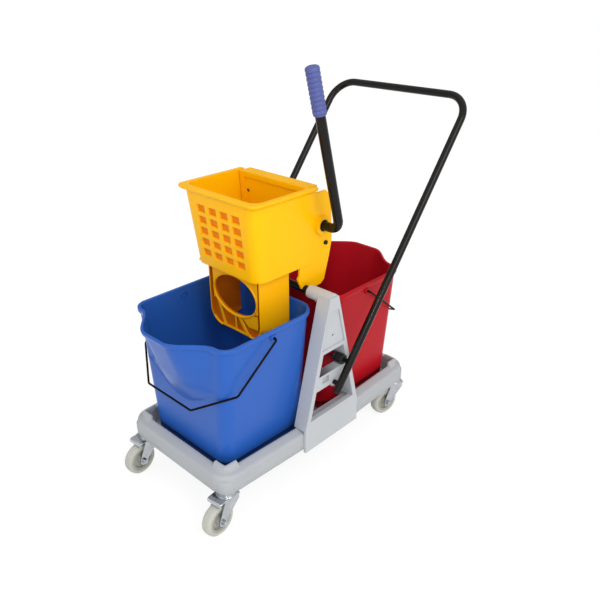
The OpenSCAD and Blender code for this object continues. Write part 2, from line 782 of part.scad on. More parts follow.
// plan outline of a bucket grown by o, f is the height fraction from bottom to rim
function bk_outline(f, o) = let (
    w = mix(bk_w_bot, bk_w_top, f) + o,
    xi = -mix(bk_in_bot, bk_in_top, f) + o,
    xo = mix(bk_out_bot, bk_out_top, f) + o,
    ri = bk_r_in + o,
    ro = bk_r_out + o
) concat(
    [for (i = [1 : side_n]) [mix(-xo + ro, xi - ri, i / (side_n + 1)), -w]],
    arc(xi - ri, -w + ri, ri, -90, 0, arc_n),
    [for (i = [1 : end_n]) [xi, mix(-w + ri, w - ri, i / (end_n + 1))]],
    arc(xi - ri, w - ri, ri, 0, 90, arc_n),
    [for (i = [1 : side_n]) [mix(xi - ri, -xo + ro, i / (side_n + 1)), w]],
    arc(-xo + ro, w - ro, ro, 90, 180, arc_n),
    [for (i = [1 : spout_n - 1]) [-xo, mix(w - ro, -w + ro, i / spout_n)]],
    arc(-xo + ro, -w + ro, ro, 180, 270, arc_n));

bk_n = len(bk_outline(1, 0));
front_a = 2 * side_n + 2 * arc_n + end_n + arc_n;
front_b = front_a + spout_n - 2;
rim_pts = bk_outline(1, 0);

// height at which the spout starts above outline point i
function spout_z(i) = i >= front_a && i <= front_b
    ? mix(spout_lo, spout_hi, pow(min(1, abs(rim_pts[i][1]) / spout_out), 2)) : spout_hi;

// reach of the spout at the rim for outline point i
function spout_x(i) = i >= front_a && i <= front_b
    ? spout * (1 - smooth((abs(rim_pts[i][1]) - spout_in) / (spout_out - spout_in))) : 0;

// ring of points grown by o, at level v: 0 bottom, 1 start of the spout, 2 rim
function bk_ring(v, o, dz) = [for (i = [0 : bk_n - 1]) let (
    zs = spout_z(i),
    z = (v <= 1 ? mix(bk_z0, zs, v) : mix(zs, rim_z, v - 1)) + dz,
    p = bk_outline((z - bk_z0) / (rim_z - bk_z0), o)[i],
    k = v <= 1 ? 0 : (z - zs) / (rim_z - zs)
) [p[0] - spout_x(i) * k, p[1], z]];

// closed skin through a list of rings, with the first and last ring capped to a middle point
module skin(rings, mid_a, mid_b) {
    n = len(rings[0]);
    m = len(rings);
    pts = concat([for (r = rings) each r], [mid_a, mid_b]);
    walls = [for (k = [0 : m - 2], i = [0 : n - 1]) let (j = (i + 1) % n, a = k * n, b = (k + 1) * n)
        each [[a + i, b + i, b + j], [a + i, b + j, a + j]]];
    cap_a = [for (i = [0 : n - 1]) [m * n, i, (i + 1) % n]];
    cap_b = [for (i = [0 : n - 1]) [m * n + 1, (m - 1) * n + (i + 1) % n, (m - 1) * n + i]];
    polyhedron(points = pts, faces = concat(walls, cap_a, cap_b), convexity = 8);
}

// one bucket at the wringer end
module bucket() {
    mid_x = -(bk_out_bot + bk_in_bot) / 2;
    outer = concat([bk_ring(0, -7, 0), bk_ring(0, -2, 2), bk_ring(0, 0, 7)],
        [for (v = [0.35, 0.7, 1, 1.25, 1.5, 1.75]) bk_ring(v, 0, 0)],
        [bk_ring(2, 0, -bk_lip_h), bk_ring(2, bk_lip - 1.2, -bk_lip_h), bk_ring(2, bk_lip, -bk_lip_h + 2),
            bk_ring(2, bk_lip, -2.5), bk_ring(2, bk_lip - 2, 0)]);
    inner = concat([bk_ring(2, -bk_t + 1, 0), bk_ring(2, -bk_t, -2)],
        [for (v = [1.75, 1.5, 1.25, 1, 0.6, 0.2]) bk_ring(v, -bk_t, 0)],
        [bk_ring(0, -bk_t, 12), bk_ring(0, -bk_t - 4, bk_t + 1), bk_ring(0, -bk_t - 9, bk_t)]);
    difference() {
        union() {
            skin(concat(outer, inner), [mid_x, 0, bk_z0], [mid_x, 0, bk_z0 + bk_t]);
            for (s = [-1, 1]) ycyl(ear_d, ear_out - ear_in, -ear_x, s * (ear_out + ear_in) / 2, ear_z, 32);
        }
        for (s = [-1, 1]) ycyl(wire_d + 2 * gap, 2 * ear_bore, -ear_x, s * ear_out, ear_z, 32);
    }
}

// inner end of the bail ears and depth of their bores
ear_in = 153;
ear_bore = 7;

module blue_bucket() {
    color("royalblue") place() bucket();
}

module red_bucket() {
    color("firebrick") place() rotate([0, 0, 180]) bucket();
}

// rounded corner of a wire path, from the point before p through p to the point after
function bend(a, p, b, r, n) = let (
    u = (a - p) / norm(a - p),
    v = (b - p) / norm(b - p),
    half = acos(u * v) / 2,
    d = r / tan(half),
    c = p + (u + v) / norm(u + v) * r / sin(half),
    s = p + u * d - c,
    e = p + v * d - c,
    turn = 180 - 2 * half,
    w = (e - s * cos(turn)) / sin(turn)
) [for (i = [0 : n]) c + s * cos(turn * i / n) + w * sin(turn * i / n)];

// wire of a bail in its own plane, u away from the pivots
bail_half = [[0, ear_out - ear_bore + gap], [0, bail_y], [bail_r1, bail_y1], [bail_r2, bail_y2]];
bail_path = concat([bail_half[0]], bend(bail_half[0], bail_half[1], bail_half[2], 5, 4),
    bend(bail_half[1], bail_half[2], bail_half[3], 10, 4),
    bend(bail_half[2], bail_half[3], [bail_r2, -bail_y2], 10, 4),
    bend(bail_half[3], [bail_r2, -bail_y2], [bail_r1, -bail_y1], 10, 4),
    bend([bail_r2, -bail_y2], [bail_r1, -bail_y1], [0, -bail_y], 10, 4),
    bend([bail_r1, -bail_y1], [0, -bail_y], [0, -bail_half[0][1]], 5, 4), [[0, -bail_half[0][1]]]);

// direction of the wire at path point i
function wire_dir(i) = let (a = bail_path[max(i - 1, 0)], b = bail_path[min(i + 1, len(bail_path) - 1)])
    (b - a) / norm(b - a);

// bail of the bucket at the wringer end
module bail() {
    n = 12;
    r = wire_d / 2;
    ca = cos(bail_rest);
    sa = sin(bail_rest);
    rings = [for (i = [0 : len(bail_path) - 1]) let (p = bail_path[i], t = wire_dir(i)) [for (k = [0 : n - 1])
        let (u = p[0] - t[1] * r * cos(360 * k / n), y = p[1] + t[0] * r * cos(360 * k / n),
            q = r * sin(360 * k / n))
        [-ear_x - u * ca - q * sa, y, ear_z - u * sa + q * ca]]];
    first = bail_path[0];
    last = bail_path[len(bail_path) - 1];
    skin(rings, [-ear_x, first[1], ear_z], [-ear_x, last[1], ear_z]);
}

module blue_bail() {
    color("black") place() bail();
}

module red_bail() {
    color("black") place() rotate([0, 0, 180]) bail();
}

// fraction of the basket height at z
function wr_f(z) = (z - wr_lo) / (wr_hi - wr_lo);

// rear end of the side walls at the rim
wr_back = 16;

// outline of the basket walls at height z, grown by o, wall inset w at the front and s at the sides
function wr_outline(z, o, w, s, r) = let (
    xf = mix(wr_front_lo, wr_front_hi, wr_f(z)) + o - w,
    yw = mix(wr_w_lo, wr_w_hi, wr_f(z)) + o - s
) concat([[wr_back, -yw, z]],
    [for (p = arc(-xf + r, -yw + r, r, 270, 180, 9)) [p[0], p[1], z]],
    [for (p = arc(-xf + r, yw - r, r, 180, 90, 9)) [p[0], p[1], z]],
    [[wr_back, yw, z]]);

// front wall and front corners of the basket, between its skins
module wr_front() {
    levels = [[wr_lo, 0, wr_r], [wr_hi - 12, 0, wr_r], [wr_hi - 7, wr_lip - 1, wr_r - 8],
        [wr_hi - 5, wr_lip, wr_r - 10], [wr_hi - 1.5, wr_lip, wr_r - 10], [wr_hi, wr_lip - 1.5, wr_r - 11]];
    m = len(levels);
    outer = [for (l = levels) wr_outline(l[0], l[1], 0, 0, l[2])];
    inner = [for (l = levels) wr_outline(l[0], 0, wr_front_t, wr_side_t, wr_r - wr_side_t)];
    n = len(outer[0]);
    pts = concat([for (r = outer) each r], [for (r = inner) each r]);
    q = m * n;
    out_f = [for (k = [0 : m - 2], i = [0 : n - 2]) let (a = k * n + i, b = a + n)
        each [[a, b + 1, b], [a, a + 1, b + 1]]];
    in_f = [for (k = [0 : m - 2], i = [0 : n - 2]) let (a = q + k * n + i, b = a + n)
        each [[a, b, b + 1], [a, b + 1, a + 1]]];
    top_f = [for (i = [0 : n - 2]) let (a = (m - 1) * n + i) each [[a, a + 1, q + a + 1], [a, q + a + 1, q + a]]];
    low_f = [for (i = [0 : n - 2]) each [[i, q + i + 1, i + 1], [i, q + i, q + i + 1]]];
    end_f = [for (k = [0 : m - 2]) let (a = k * n, b = a + n) each [[a, b, q + b], [a, q + b, q + a],
        [a + n - 1, q + b + n - 1, b + n - 1], [a + n - 1, q + a + n - 1, q + b + n - 1]]];
    polyhedron(points = pts, faces = concat(out_f, in_f, top_f, low_f, end_f), convexity = 8);
}

// outline of a side wall with its cheek, hook and jaw, heights from the basket bottom
cheek_top = wr_hi - 15 - wr_lo;
cheek = [[-90, 8], [-22, 8], [-22, -22], [-26, -28], [-24, -34], [-slot_r - 2, bar_z + 6 - wr_lo],
    [-slot_r - 2, bar_z + 4 - wr_lo], [slot_r + jaw_gap, bar_z + 4 - wr_lo], [slot_r + jaw_gap, jaw_lo - wr_lo],
    [14, jaw_lo - wr_lo], [17, jaw_lo + 13 - wr_lo], [56, jaw_lo + 16 - wr_lo],
    [66, jaw_lo + 24 - wr_lo], [78, 0], [cheek_x, 40], [cheek_x - 2, 70], [cheek_x - 10, 120],
    [cheek_x - 20, cheek_top - 12], [cheek_x - 32, cheek_top], [-90, cheek_top]];

// one tilted side of the basket, s = -1 on the lever side
module wr_side(s) {
    translate([0, s * (wr_w_lo - 0.4), wr_lo]) rotate([-s * wr_tilt, 0, 0])
        yplate(cheek, wr_side_t - 0.8, -s * (wr_side_t - 0.8) / 2);
}

// half width of the inside of the basket at height z
function wr_in(z) = mix(wr_w_lo, wr_w_hi, wr_f(z)) - wr_side_t;

module wringer_basket() {
    floor_t = 5;
    row0 = wr_lo + 38;
    mid_z = (wr_lo + wr_hi) / 2;
    mid_x = -mix(wr_front_lo, wr_front_hi, 0.5);
    boss_out = wr_w_hi + 1;
    color("gold") place() difference() {
        union() {
            wr_front();
            for (s = [-1, 1]) {
                wr_side(s);
                ycyl(axle_boss, boss_out - wr_in(axle_z) - 1, axle_x, s * (boss_out + wr_in(axle_z) + 1) / 2,
                    axle_z, 64);
            }
            translate([-(wr_front_lo - 6 + 22) / 2, 0, wr_lo + floor_t / 2 + 0.2])
                cube([wr_front_lo - 6 - 22, 2 * wr_in(wr_lo) + 2, floor_t], center = true);
        }
        translate([-(ch_front + ch_rear) / 2, 0, wr_lo])
            cube([ch_front - ch_rear - 28, 2 * ch_w - 44, 4 * floor_t], center = true);
        translate([mid_x, 0, mid_z]) rotate([0, -front_tilt, 0])
            for (i = [0 : pocket_cols - 1], k = [0 : pocket_rows - 1])
                translate([0, (i - (pocket_cols - 1) / 2) * pocket_px, (k - (pocket_rows - 1) / 2) * pocket_pz - 6])
                    cube([2 * pocket_d, pocket_w, pocket_h], center = true);
        ycyl(bar_d + 2 * gap, 2 * wr_w_hi, 0, 0, bar_z, 64);
        ycyl(bush_d, 2 * wr_w_hi + 20, axle_x, 0, axle_z, 64);
        ycyl(tie_d + 2 * pin_fit, 2 * wr_w_hi + 20, tie_x, 0, tie_z, 48);
        ycyl(pivot_d + 2 * run_fit, 2 * (wr_in(pivot_z) + 3.6), pivot_x, 0, pivot_z, 48);
        for (sx = [-1, 1], s = [-1, 1]) translate([chute_post_x(sx), s * chute_post_y, wr_lo - 10])
            cylinder(d = chute_screw_d + 2 * pin_fit, h = 30, $fn = 32);
    }
}

// places of the screws between the chute and the basket floor
function chute_post_x(sx) = sx < 0 ? -ch_front + 14 : -ch_rear - 7;
chute_post_y = ch_w - 9;
chute_screw_d = 4;
chute_screw_in = 20;

module wringer_chute() {
    r = 40;
    front_mid = -ch_front + ch_front_t / 2;
    h = wr_lo - ch_lo;
    post = 14;
    web_z = ch_hole_z - ch_hole / 2 - 6;
    color("gold") place() difference() {
        union() {
            translate([front_mid, 0, ch_lo + r + (h - r) / 2]) cube([ch_front_t, 2 * ch_w, h - r], center = true);
            translate([front_mid, 0, ch_lo + r / 2 + 1]) cube([ch_front_t, 2 * (ch_w - r), r + 2], center = true);
            for (s = [-1, 1]) {
                translate([-ch_front, s * (ch_w - r), ch_lo + r]) rotate([0, 90, 0])
                    cylinder(r = r, h = ch_front_t, $fn = 64);
                translate([-(ch_front - 1 + ch_rear) / 2, s * (ch_w - ch_t / 2), ch_lo + (h + 4) / 2 - 4])
                    cube([ch_front - 1 - ch_rear, ch_t, h + 4], center = true);
                for (sx = [-1, 1]) translate([chute_post_x(sx), s * chute_post_y, wr_lo - 14])
                    cube([post, post, 28], center = true);
            }
        }
        translate([-ch_front - 1, 0, ch_hole_z]) rotate([0, 90, 0])
            cylinder(d = ch_hole, h = ch_front_t + 2, $fn = 96);
        for (s = [-1, 1]) {
            yz_pocket([[s * 5, web_z - 2], [s * 5, ch_lo + 8], [s * 20, ch_lo + 6]]);
            yz_pocket([[s * 12, web_z - 4], [s * 28, ch_lo + 6], [s * 46, ch_lo + 7], [s * 40, web_z + 4]]);
            yz_pocket([[s * 46, web_z + 6], [s * 53, ch_lo + 8], [s * 70, ch_lo + 17], [s * 76, ch_lo + 36],
                [s * 72, web_z + 26]]);
            for (sx = [-1, 1]) translate([chute_post_x(sx), s * chute_post_y, wr_lo - 22])
                cylinder(d = chute_screw_d + 2 * pin_fit, h = 30, $fn = 32);
        }
    }
}

// shallow pocket in the chute front, outline in YZ
module yz_pocket(pts) {
    translate([-ch_front - 1, 0, 0]) rotate([90, 0, 90]) linear_extrude(height = 6) polygon(pts);
}

module chute_screws() {
    color("silver") place() for (sx = [-1, 1], s = [-1, 1])
        translate([chute_post_x(sx), s * chute_post_y, wr_lo]) {
            translate([0, 0, -chute_screw_in]) cylinder(d = chute_screw_d, h = chute_screw_in + 6, $fn = 32);
            translate([0, 0, 5.2]) cylinder(d = 2 * chute_screw_d, h = 3, $fn = 32);
        }
}

module axle_bushes() {
    bush_in = wr_in(axle_z);
    bush_out = wr_w_hi + 1;
    color("dimgray") place() for (s = [-1, 1]) difference() {
        ycyl(bush_d - 2 * pin_fit, bush_out - bush_in, axle_x, s * (bush_out + bush_in) / 2, axle_z, 64);
        ycyl(tube_d + 2 * run_fit, 2 * bush_out + 2, axle_x, 0, axle_z, 64);
    }
}

module tie_rod() {
    color("black") place() ycyl(tie_d, 2 * (wr_w_lo + 7), tie_x, 0, tie_z, 48);
}

module press_plate() {
    top = wr_hi - 1;
    y_lo = wr_in(plate_lo) - 3;
    y_hi = wr_in(wr_hi) - 4;
    back = pivot_x - 4;
    color("gold") place() difference() {
        union() {
            translate([back, 0, 0]) rotate([90, 0, 90]) linear_extrude(height = plate_t)
                polygon([[-y_lo, plate_lo], [y_lo, plate_lo], [y_hi, top], [-y_hi, top]]);
            translate([back + flange_d / 2, 0, top - plate_t / 2])
                cube([flange_d, 2 * y_hi - 2, plate_t], center = true);
            for (s = [-1, 1]) {
                yplate([[back + 1, pivot_z + 6], [rib_x, pivot_z + 38], [rib_x, pivot_z + 51],
                    [back + 1, pivot_z + 74]], 12, s * 50);
                yplate([[back + 1, top - 60], [back + 8, top - 60], [back + flange_d - 4, top - 2],
                    [back + 1, top - 2]], 5, s * 50);
                ycyl(16, y_lo - 60, pivot_x, s * (y_lo + 60) / 2, pivot_z, 48);
            }
        }
        translate([back - 1, 84, wr_lo + 141]) rotate([0, 90, 0]) cylinder(d = 8, h = 12, $fn = 32);
        for (s = [-1, 1]) ycyl(pivot_d + 2 * pin_fit, 2 * 24, pivot_x, s * y_lo, pivot_z, 48);
    }
}

module press_pins() {
    reach = wr_in(pivot_z) + 3.2;
    start = wr_in(plate_lo) - 3 - 22;
    color("silver") place() for (s = [-1, 1]) ycyl(pivot_d, reach - start, pivot_x, s * (reach + start) / 2, pivot_z, 48);
}

// moves a piece to the lever axle, with z along the lever
module on_lever() {
    translate([axle_x, 0, axle_z]) rotate([0, -lever_lean, 0]) children();
}

far_end = wr_w_hi + 9;

// solid bent rod of the lever with diameter d
module lever_rod(d) {
    translate([0, (far_end - lever_y + lever_r) / 2, 0]) rotate([90, 0, 0])
        cylinder(d = d, h = far_end + lever_y - lever_r, center = true, $fn = 48);
    translate([0, -lever_y + lever_r, lever_r]) rotate([90, 0, 90]) rotate([0, 0, 180])
        rotate_extrude(angle = 90, $fn = 64) translate([lever_r, 0]) circle(d = d, $fn = 48);
    translate([0, -lever_y, lever_r]) cylinder(d = d, h = lever_l - lever_r - 4, $fn = 48);
}

module lever_tube() {
    color("black") place() on_lever() difference() {
        lever_rod(tube_d);
        lever_rod(tube_d - 2 * tube_t);
    }
}

module lever_grip() {
    color("slateblue") place() on_lever() translate([0, -lever_y, 0]) difference() {
        union() {
            translate([0, 0, lever_l - grip_l]) cylinder(d = grip_d, h = grip_l, $fn = 64);
            translate([0, 0, lever_l - grip_l]) cylinder(d = grip_d + 3, h = 5, $fn = 64);
        }
        translate([0, 0, lever_l - grip_l - 1]) cylinder(d = tube_d + 2 * pin_fit, h = grip_l - 3, $fn = 64);
    }
}

arm_y = 72;
arm_t = 6;

module cam_arms() {
    color("dimgray") place() translate([axle_x, 0, axle_z]) for (s = [-1, 1]) difference() {
        union() {
            ycyl(tube_d + 10, arm_t, 0, s * arm_y, 0, 64);
            translate([0, s * arm_y, 0]) rotate([0, -cam_a, 0]) translate([cam_r / 2, 0, 0])
                cube([cam_r, arm_t, 15], center = true);
            ycyl(18, arm_t, cam_r * cos(cam_a), s * arm_y, cam_r * sin(cam_a), 48);
        }
        ycyl(tube_d + 2 * pin_fit, 4 * arm_y, 0, 0, 0, 64);
        ycyl(6 + 2 * pin_fit, 4 * arm_y, cam_r * cos(cam_a), 0, cam_r * sin(cam_a), 48);
    }
}

module cam_roller() {
    color("silver") place() translate([axle_x + cam_r * cos(cam_a), 0, axle_z + cam_r * sin(cam_a)]) {
        ycyl(6, 2 * (arm_y + arm_t / 2 + 1), 0, 0, 0, 48);
        ycyl(roller_d - 2, 2 * (arm_y - arm_t / 2), 0, 0, 0, 48);
    }
}

module lever_clip() {
    inner = wr_w_hi + 1 + gap;
    color("gainsboro") place() difference() {
        ycyl(tube_d + 9, 3, axle_x, inner + 1.5, axle_z, 48);
        ycyl(tube_d + 2 * pin_fit, 20, axle_x, inner, axle_z, 48);
    }
}

base_tray();
left_side_frame();
right_side_frame();
side_frame_screws();
cross_tube();
cross_tube_screws();
push_handle();
handle_studs();
handle_nuts();
handle_plugs();
castor_stems();
castor_nuts();
fork_fl();
fork_fr();
fork_rl();
fork_rr();
axle_fl();
axle_fr();
axle_rl();
axle_rr();
core_fl();
core_fr();
core_rl();
core_rr();
tyre_fl();
tyre_fr();
tyre_rl();
tyre_rr();
blue_bucket();
blue_bail();
red_bucket();
red_bail();
wringer_basket();
wringer_chute();
chute_screws();
axle_bushes();
tie_rod();
press_plate();
press_pins();
lever_tube();
lever_grip();
cam_arms();
cam_roller();
lever_clip();
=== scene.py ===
import math

import bmesh
import bpy
import numpy as np
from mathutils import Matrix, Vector


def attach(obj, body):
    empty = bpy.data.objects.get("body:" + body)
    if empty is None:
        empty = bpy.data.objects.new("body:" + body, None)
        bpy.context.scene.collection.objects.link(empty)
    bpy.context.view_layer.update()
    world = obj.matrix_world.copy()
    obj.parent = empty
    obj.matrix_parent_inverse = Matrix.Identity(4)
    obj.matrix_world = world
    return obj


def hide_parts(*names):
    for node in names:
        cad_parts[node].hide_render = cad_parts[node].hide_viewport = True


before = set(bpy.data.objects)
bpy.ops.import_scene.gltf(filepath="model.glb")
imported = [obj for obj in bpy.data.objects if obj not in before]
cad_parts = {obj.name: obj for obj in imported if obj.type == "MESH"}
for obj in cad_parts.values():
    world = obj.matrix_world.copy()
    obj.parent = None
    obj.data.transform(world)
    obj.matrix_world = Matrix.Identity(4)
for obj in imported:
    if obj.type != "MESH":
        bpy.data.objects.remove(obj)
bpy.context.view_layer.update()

bl_info = {
    "name": "Double Mop Bucket Trolley",
    "version": (1, 0, 0),
    "blender": (4, 5, 0),
    "location": "View3D > Sidebar > Trolley",
    "description": "Dresses the solids of a double mop bucket trolley and sets up its studio",
    "category": "Add Mesh",
}

# The trolley is drawn about the middle of its base underside, which lies here in the frame.
MIDDLE = Vector((-0.051097, 0.0, 0.106))
MM = 0.001

# Sizes that several pieces or finishes share, in metres from that middle.
CASTOR_X, CASTOR_Y = 0.314, 0.153
BUCKET_MIDDLE = 0.163
# The sloping front of the wringer basket.
BASKET_LOW, BASKET_TOP = 0.432, 0.619
BASKET_FRONT_LOW, BASKET_FRONT_TOP = 0.153, 0.171
BASKET_SLOPE = (BASKET_FRONT_TOP - BASKET_FRONT_LOW) / (BASKET_TOP - BASKET_LOW)
# The chute, in mm: front, rear, half width, underside, and the radius of the curve at the foot of
# its walls, at their front and rear edges.
CHUTE_FRONT, CHUTE_REAR, CHUTE_HALF, CHUTE_LOW = -133.0, -39.5, 88.0, 272.0
CHUTE_BEND, CHUTE_REAR_BEND = 40.0, 6.0
# The castors, with the ends and sides of the base that they stand at.
CORNERS = {"fl": (-1, -1), "fr": (-1, 1), "rl": (1, -1), "rr": (1, 1)}


# Settings


def number_setting(name, description, default, unit="LENGTH"):
    """Setting for one number, a size in metres unless it has another unit."""
    return bpy.props.FloatProperty(name=name, description=description, default=default, unit=unit)


def colour_setting(name, description, default):
    """Setting for a colour: red, green and blue."""
    return bpy.props.FloatVectorProperty(
        name=name, description=description, default=default, subtype="COLOR", size=3
    )


class BucketSettings(bpy.types.PropertyGroup):
    """Sizes of the two buckets."""

    rim_height: number_setting("Rim height", "Height of the rim above the base underside", 0.3495)
    floor_height: number_setting("Floor height", "Height of the bucket underside", 0.0124)
    half_width_rim: number_setting("Rim half width", "Half width of the wall at the rim", 0.160)
    half_width_floor: number_setting("Floor half width", "Half width of the wall at the floor", 0.133)
    spout_reach: number_setting("Spout reach", "Reach of the pouring spout at the rim", 0.060)
    wall: number_setting("Wall", "Wall thickness of the buckets", 0.003)


class FinishSettings(bpy.types.PropertyGroup):
    """Colours of the finishes."""

    blue: colour_setting("Blue", "Colour of the wringer bucket", (0.019, 0.100, 0.425))
    red: colour_setting("Red", "Colour of the second bucket", (0.42, 0.006, 0.013))
    yellow: colour_setting("Yellow", "Colour of the wringer", (0.97, 0.48, 0.0005))
    grey: colour_setting("Grey", "Colour of the base and side frames", (0.392, 0.407, 0.424))
    black: colour_setting("Black", "Colour of the coated tubes", (0.007, 0.0058, 0.005))
    grip: colour_setting("Grip", "Colour of the lever grip", (0.070, 0.090, 0.285))
    tread: colour_setting("Tread", "Colour of the tyres", (0.46, 0.46, 0.41))


class StageSettings(bpy.types.PropertyGroup):
    """Camera and light."""

    camera_place: bpy.props.FloatVectorProperty(
        name="Camera place",
        description="Place of the camera from the middle of the base",
        subtype="TRANSLATION",
        size=3,
        default=(-1.0196, -1.0614, 1.0357),
    )
    azimuth: number_setting("Azimuth", "Direction of view in degrees", -46.91, "NONE")
    elevation: number_setting("Elevation", "Height of the view in degrees", 26.36, "NONE")
    lens: number_setting("Lens", "Focal length on a sensor 36 mm wide", 39.39, "CAMERA")
    key_power: number_setting("Key power", "Large lamp over the lever side", 32.0, "POWER")
    fill_power: number_setting("Fill power", "Lamp at the spout end", 2.0, "POWER")
    front_power: number_setting("Front power", "Small lamp above the camera", 8.5, "POWER")
    low_power: number_setting("Low power", "Small lamp under the camera", 3.0, "POWER")
    world_strength: number_setting("World strength", "Soft light from the key side", 1.08, "NONE")


# Shader maths


class Value:
    """An output socket that takes part in Python expressions."""

    def __init__(self, nodes, socket):
        self.nodes = nodes
        self.socket = socket

    def _math(self, operation, a, b):
        return self.nodes.node("ShaderNodeMath", {"operation": operation}, {0: a, 1: b})

    def __add__(self, other):
        return self._math("ADD", self, other)

    def __radd__(self, other):
        return self._math("ADD", other, self)

    def __sub__(self, other):
        return self._math("SUBTRACT", self, other)

    def __rsub__(self, other):
        return self._math("SUBTRACT", other, self)

    def __mul__(self, other):
        return self._math("MULTIPLY", self, other)

    def __rmul__(self, other):
        return self._math("MULTIPLY", other, self)

    def __gt__(self, other):
        return self._math("GREATER_THAN", self, other)

    def __lt__(self, other):
        return self._math("LESS_THAN", self, other)

    def __abs__(self):
        return self._math("ABSOLUTE", self, 0.0)

    def at_least(self, low):
        """The larger of this and another value."""
        return self._math("MAXIMUM", self, low)

    def at_most(self, high):
        """The smaller of this and another value."""
        return self._math("MINIMUM", self, high)

    def between(self, low, high):
        """Smooth step from 0 at low to 1 at high."""
        return self.nodes.node(
            "ShaderNodeMapRange",
            {"interpolation_type": "SMOOTHSTEP"},
            {"Value": self, "From Min": low, "From Max": high},
        )


class Nodes:
    """A node tree that is built node by node."""

    def __init__(self, tree):
        self.tree = tree

    def node(self, kind, settings=None, inputs=None, out=0):
        """Adds a node: its settings first, then the values or links of its sockets."""
        made = self.tree.nodes.new(kind)
        for key, value in (settings or {}).items():
            if key == "stops":
                self.set_stops(made.color_ramp, value)
            else:
                setattr(made, key, value)
        for key, value in (inputs or {}).items():
            self.feed(made.inputs[key], value)
        return Value(self, made.outputs[out]) if made.outputs else None

    def set_stops(self, ramp, stops):
        """Gives a ramp its stops, each a place and a shade of grey."""
        while len(ramp.elements) < len(stops):
            ramp.elements.new(0.5)
        for element, (place, grey) in zip(ramp.elements, stops):
            element.position = place
            element.color = (grey, grey, grey, 1)

    def feed(self, socket, value):
        """Links a Value to a socket, or sets the socket to a plain value."""
        if isinstance(value, Value):
            self.tree.links.new(value.socket, socket)
        else:
            socket.default_value = value

    def seen_by(self, *rays):
        """1 where a ray is one of the two named kinds."""
        first, second = (self.node("ShaderNodeLightPath", out="Is %s Ray" % ray) for ray in rays)
        return first.at_least(second)


class Finish(Nodes):
    """A node material whose shader is a Principled BSDF."""

    def __init__(self, name):
        self.material = bpy.data.materials.new(name)
        self.material.use_nodes = True
        super().__init__(self.material.node_tree)
        self.shader = self.tree.nodes["Principled BSDF"]

    def set(self, **sockets):
        """Sets or links sockets of the shader, with underscores for the spaces of their names."""
        for key, value in sockets.items():
            self.feed(self.shader.inputs[key.replace("_", " ")], value)
        return self

    def place(self):
        """Position in the piece's own frame, which moves with it."""
        return self.node("ShaderNodeTexCoord", out="Object")

    def axis(self, name):
        """One coordinate of the place, X, Y or Z."""
        return self.node("ShaderNodeSeparateXYZ", None, {"Vector": self.place()}, out=name)

    def facing(self, name):
        """One part, X, Y or Z, of the direction that the surface faces in the piece's own frame."""
        normal = self.node("ShaderNodeTexCoord", out="Normal")
        return self.node("ShaderNodeSeparateXYZ", None, {"Vector": normal}, out=name)

    def noise(self, scale, detail=3.0, roughness=0.55, distortion=0.0):
        """Noise in the piece's own frame."""
        return self.node(
            "ShaderNodeTexNoise",
            {"noise_dimensions": "3D"},
            {
                "Vector": self.place(),
                "Scale": scale,
                "Detail": detail,
                "Roughness": roughness,
                "Distortion": distortion,
            },
        )

    def ramp(self, value, *stops):
        """A value sent through stops of place and grey."""
        return self.node("ShaderNodeValToRGB", {"stops": stops}, {"Fac": value})

    def mix(self, factor, a, b):
        """Colour a where the factor is 0, and colour b where it is 1."""
        return self.node("ShaderNodeMix", {"data_type": "RGBA"}, {"Factor": factor, 6: a, 7: b}, out=2)

    def bump(self, height, strength, distance, normal=None):
        """A normal that follows a height."""
        inputs = {"Height": height, "Strength": strength, "Distance": distance}
        if normal is not None:
            inputs["Normal"] = normal
        return self.node("ShaderNodeBump", None, inputs)

    def soft_edge(self, radius):
        """A normal that rounds edges by a radius."""
        return self.node("ShaderNodeBevel", {"samples": 6}, {"Radius": radius})


def shade(colour, factor):
    """A colour made darker or lighter."""
    return tuple(min(1.0, c * factor) for c in colour[:3]) + (1.0,)


def moulded_plastic(name, colour, roughness, grain=0.06, deep=None, tint=None, gloss=0.13):
    """Injection-moulded plastic: faint mottle, fine texture, light scuffs and softened edges.

    Where deep, a mask of painted shade made from the finish, is 1, the colour takes the tint of that
    painted shade.
    """
    f = Finish(name)
    mottle = f.noise(6.0, 4.0, 0.6)
    scuffs = f.ramp(f.noise(55.0, 5.0, 0.65, 1.4), (0.62, 0.0), (0.72, 1.0))
    grainy = f.noise(1400.0, 2.0)
    base = f.mix(mottle, shade(colour, 0.93), shade(colour, 1.06))
    worn = f.mix(scuffs * 0.10, base, shade(colour, 1.25))
    if deep:
        worn = f.mix(deep(f), worn, tuple(c * t for c, t in zip(colour[:3], tint)) + (1.0,))
    f.set(
        Base_Color=worn,
        Roughness=roughness + mottle * 0.06 + scuffs * 0.08,
        Normal=f.bump(grainy * 0.5 + mottle * 0.5, grain, 0.0006, f.soft_edge(0.0012)),
        Specular_IOR_Level=gloss,
    )
    return f.material


def coated_tube(name, colour, roughness=0.17, specular=0.2):
    """Black powder coat with orange peel and a few dull rubs."""
    f = Finish(name)
    peel = f.noise(420.0, 2.0)
    rubs = f.ramp(f.noise(30.0, 5.0, 0.7, 0.8), (0.55, 0.0), (0.75, 1.0))
    f.set(
        Base_Color=f.mix(rubs * 0.35, shade(colour, 1.0), shade(colour, 2.6)),
        Roughness=roughness + rubs * 0.14,
        Normal=f.bump(peel, 0.09, 0.0005, f.soft_edge(0.0006)),
        Specular_IOR_Level=specular,
    )
    return f.material


def zinc_plate(name):
    """Bright zinc plate with soft clouding and fine drawing marks."""
    f = Finish(name)
    clouds = f.noise(38.0, 4.0, 0.6)
    marks = f.noise(900.0, 2.0)
    f.set(
        Base_Color=f.mix(clouds, (0.33, 0.35, 0.38, 1), (0.60, 0.62, 0.65, 1)),
        Metallic=1.0,
        Roughness=0.12 + clouds * 0.16,
        Normal=f.bump(marks, 0.05, 0.0003, f.soft_edge(0.0008)),
    )
    return f.material


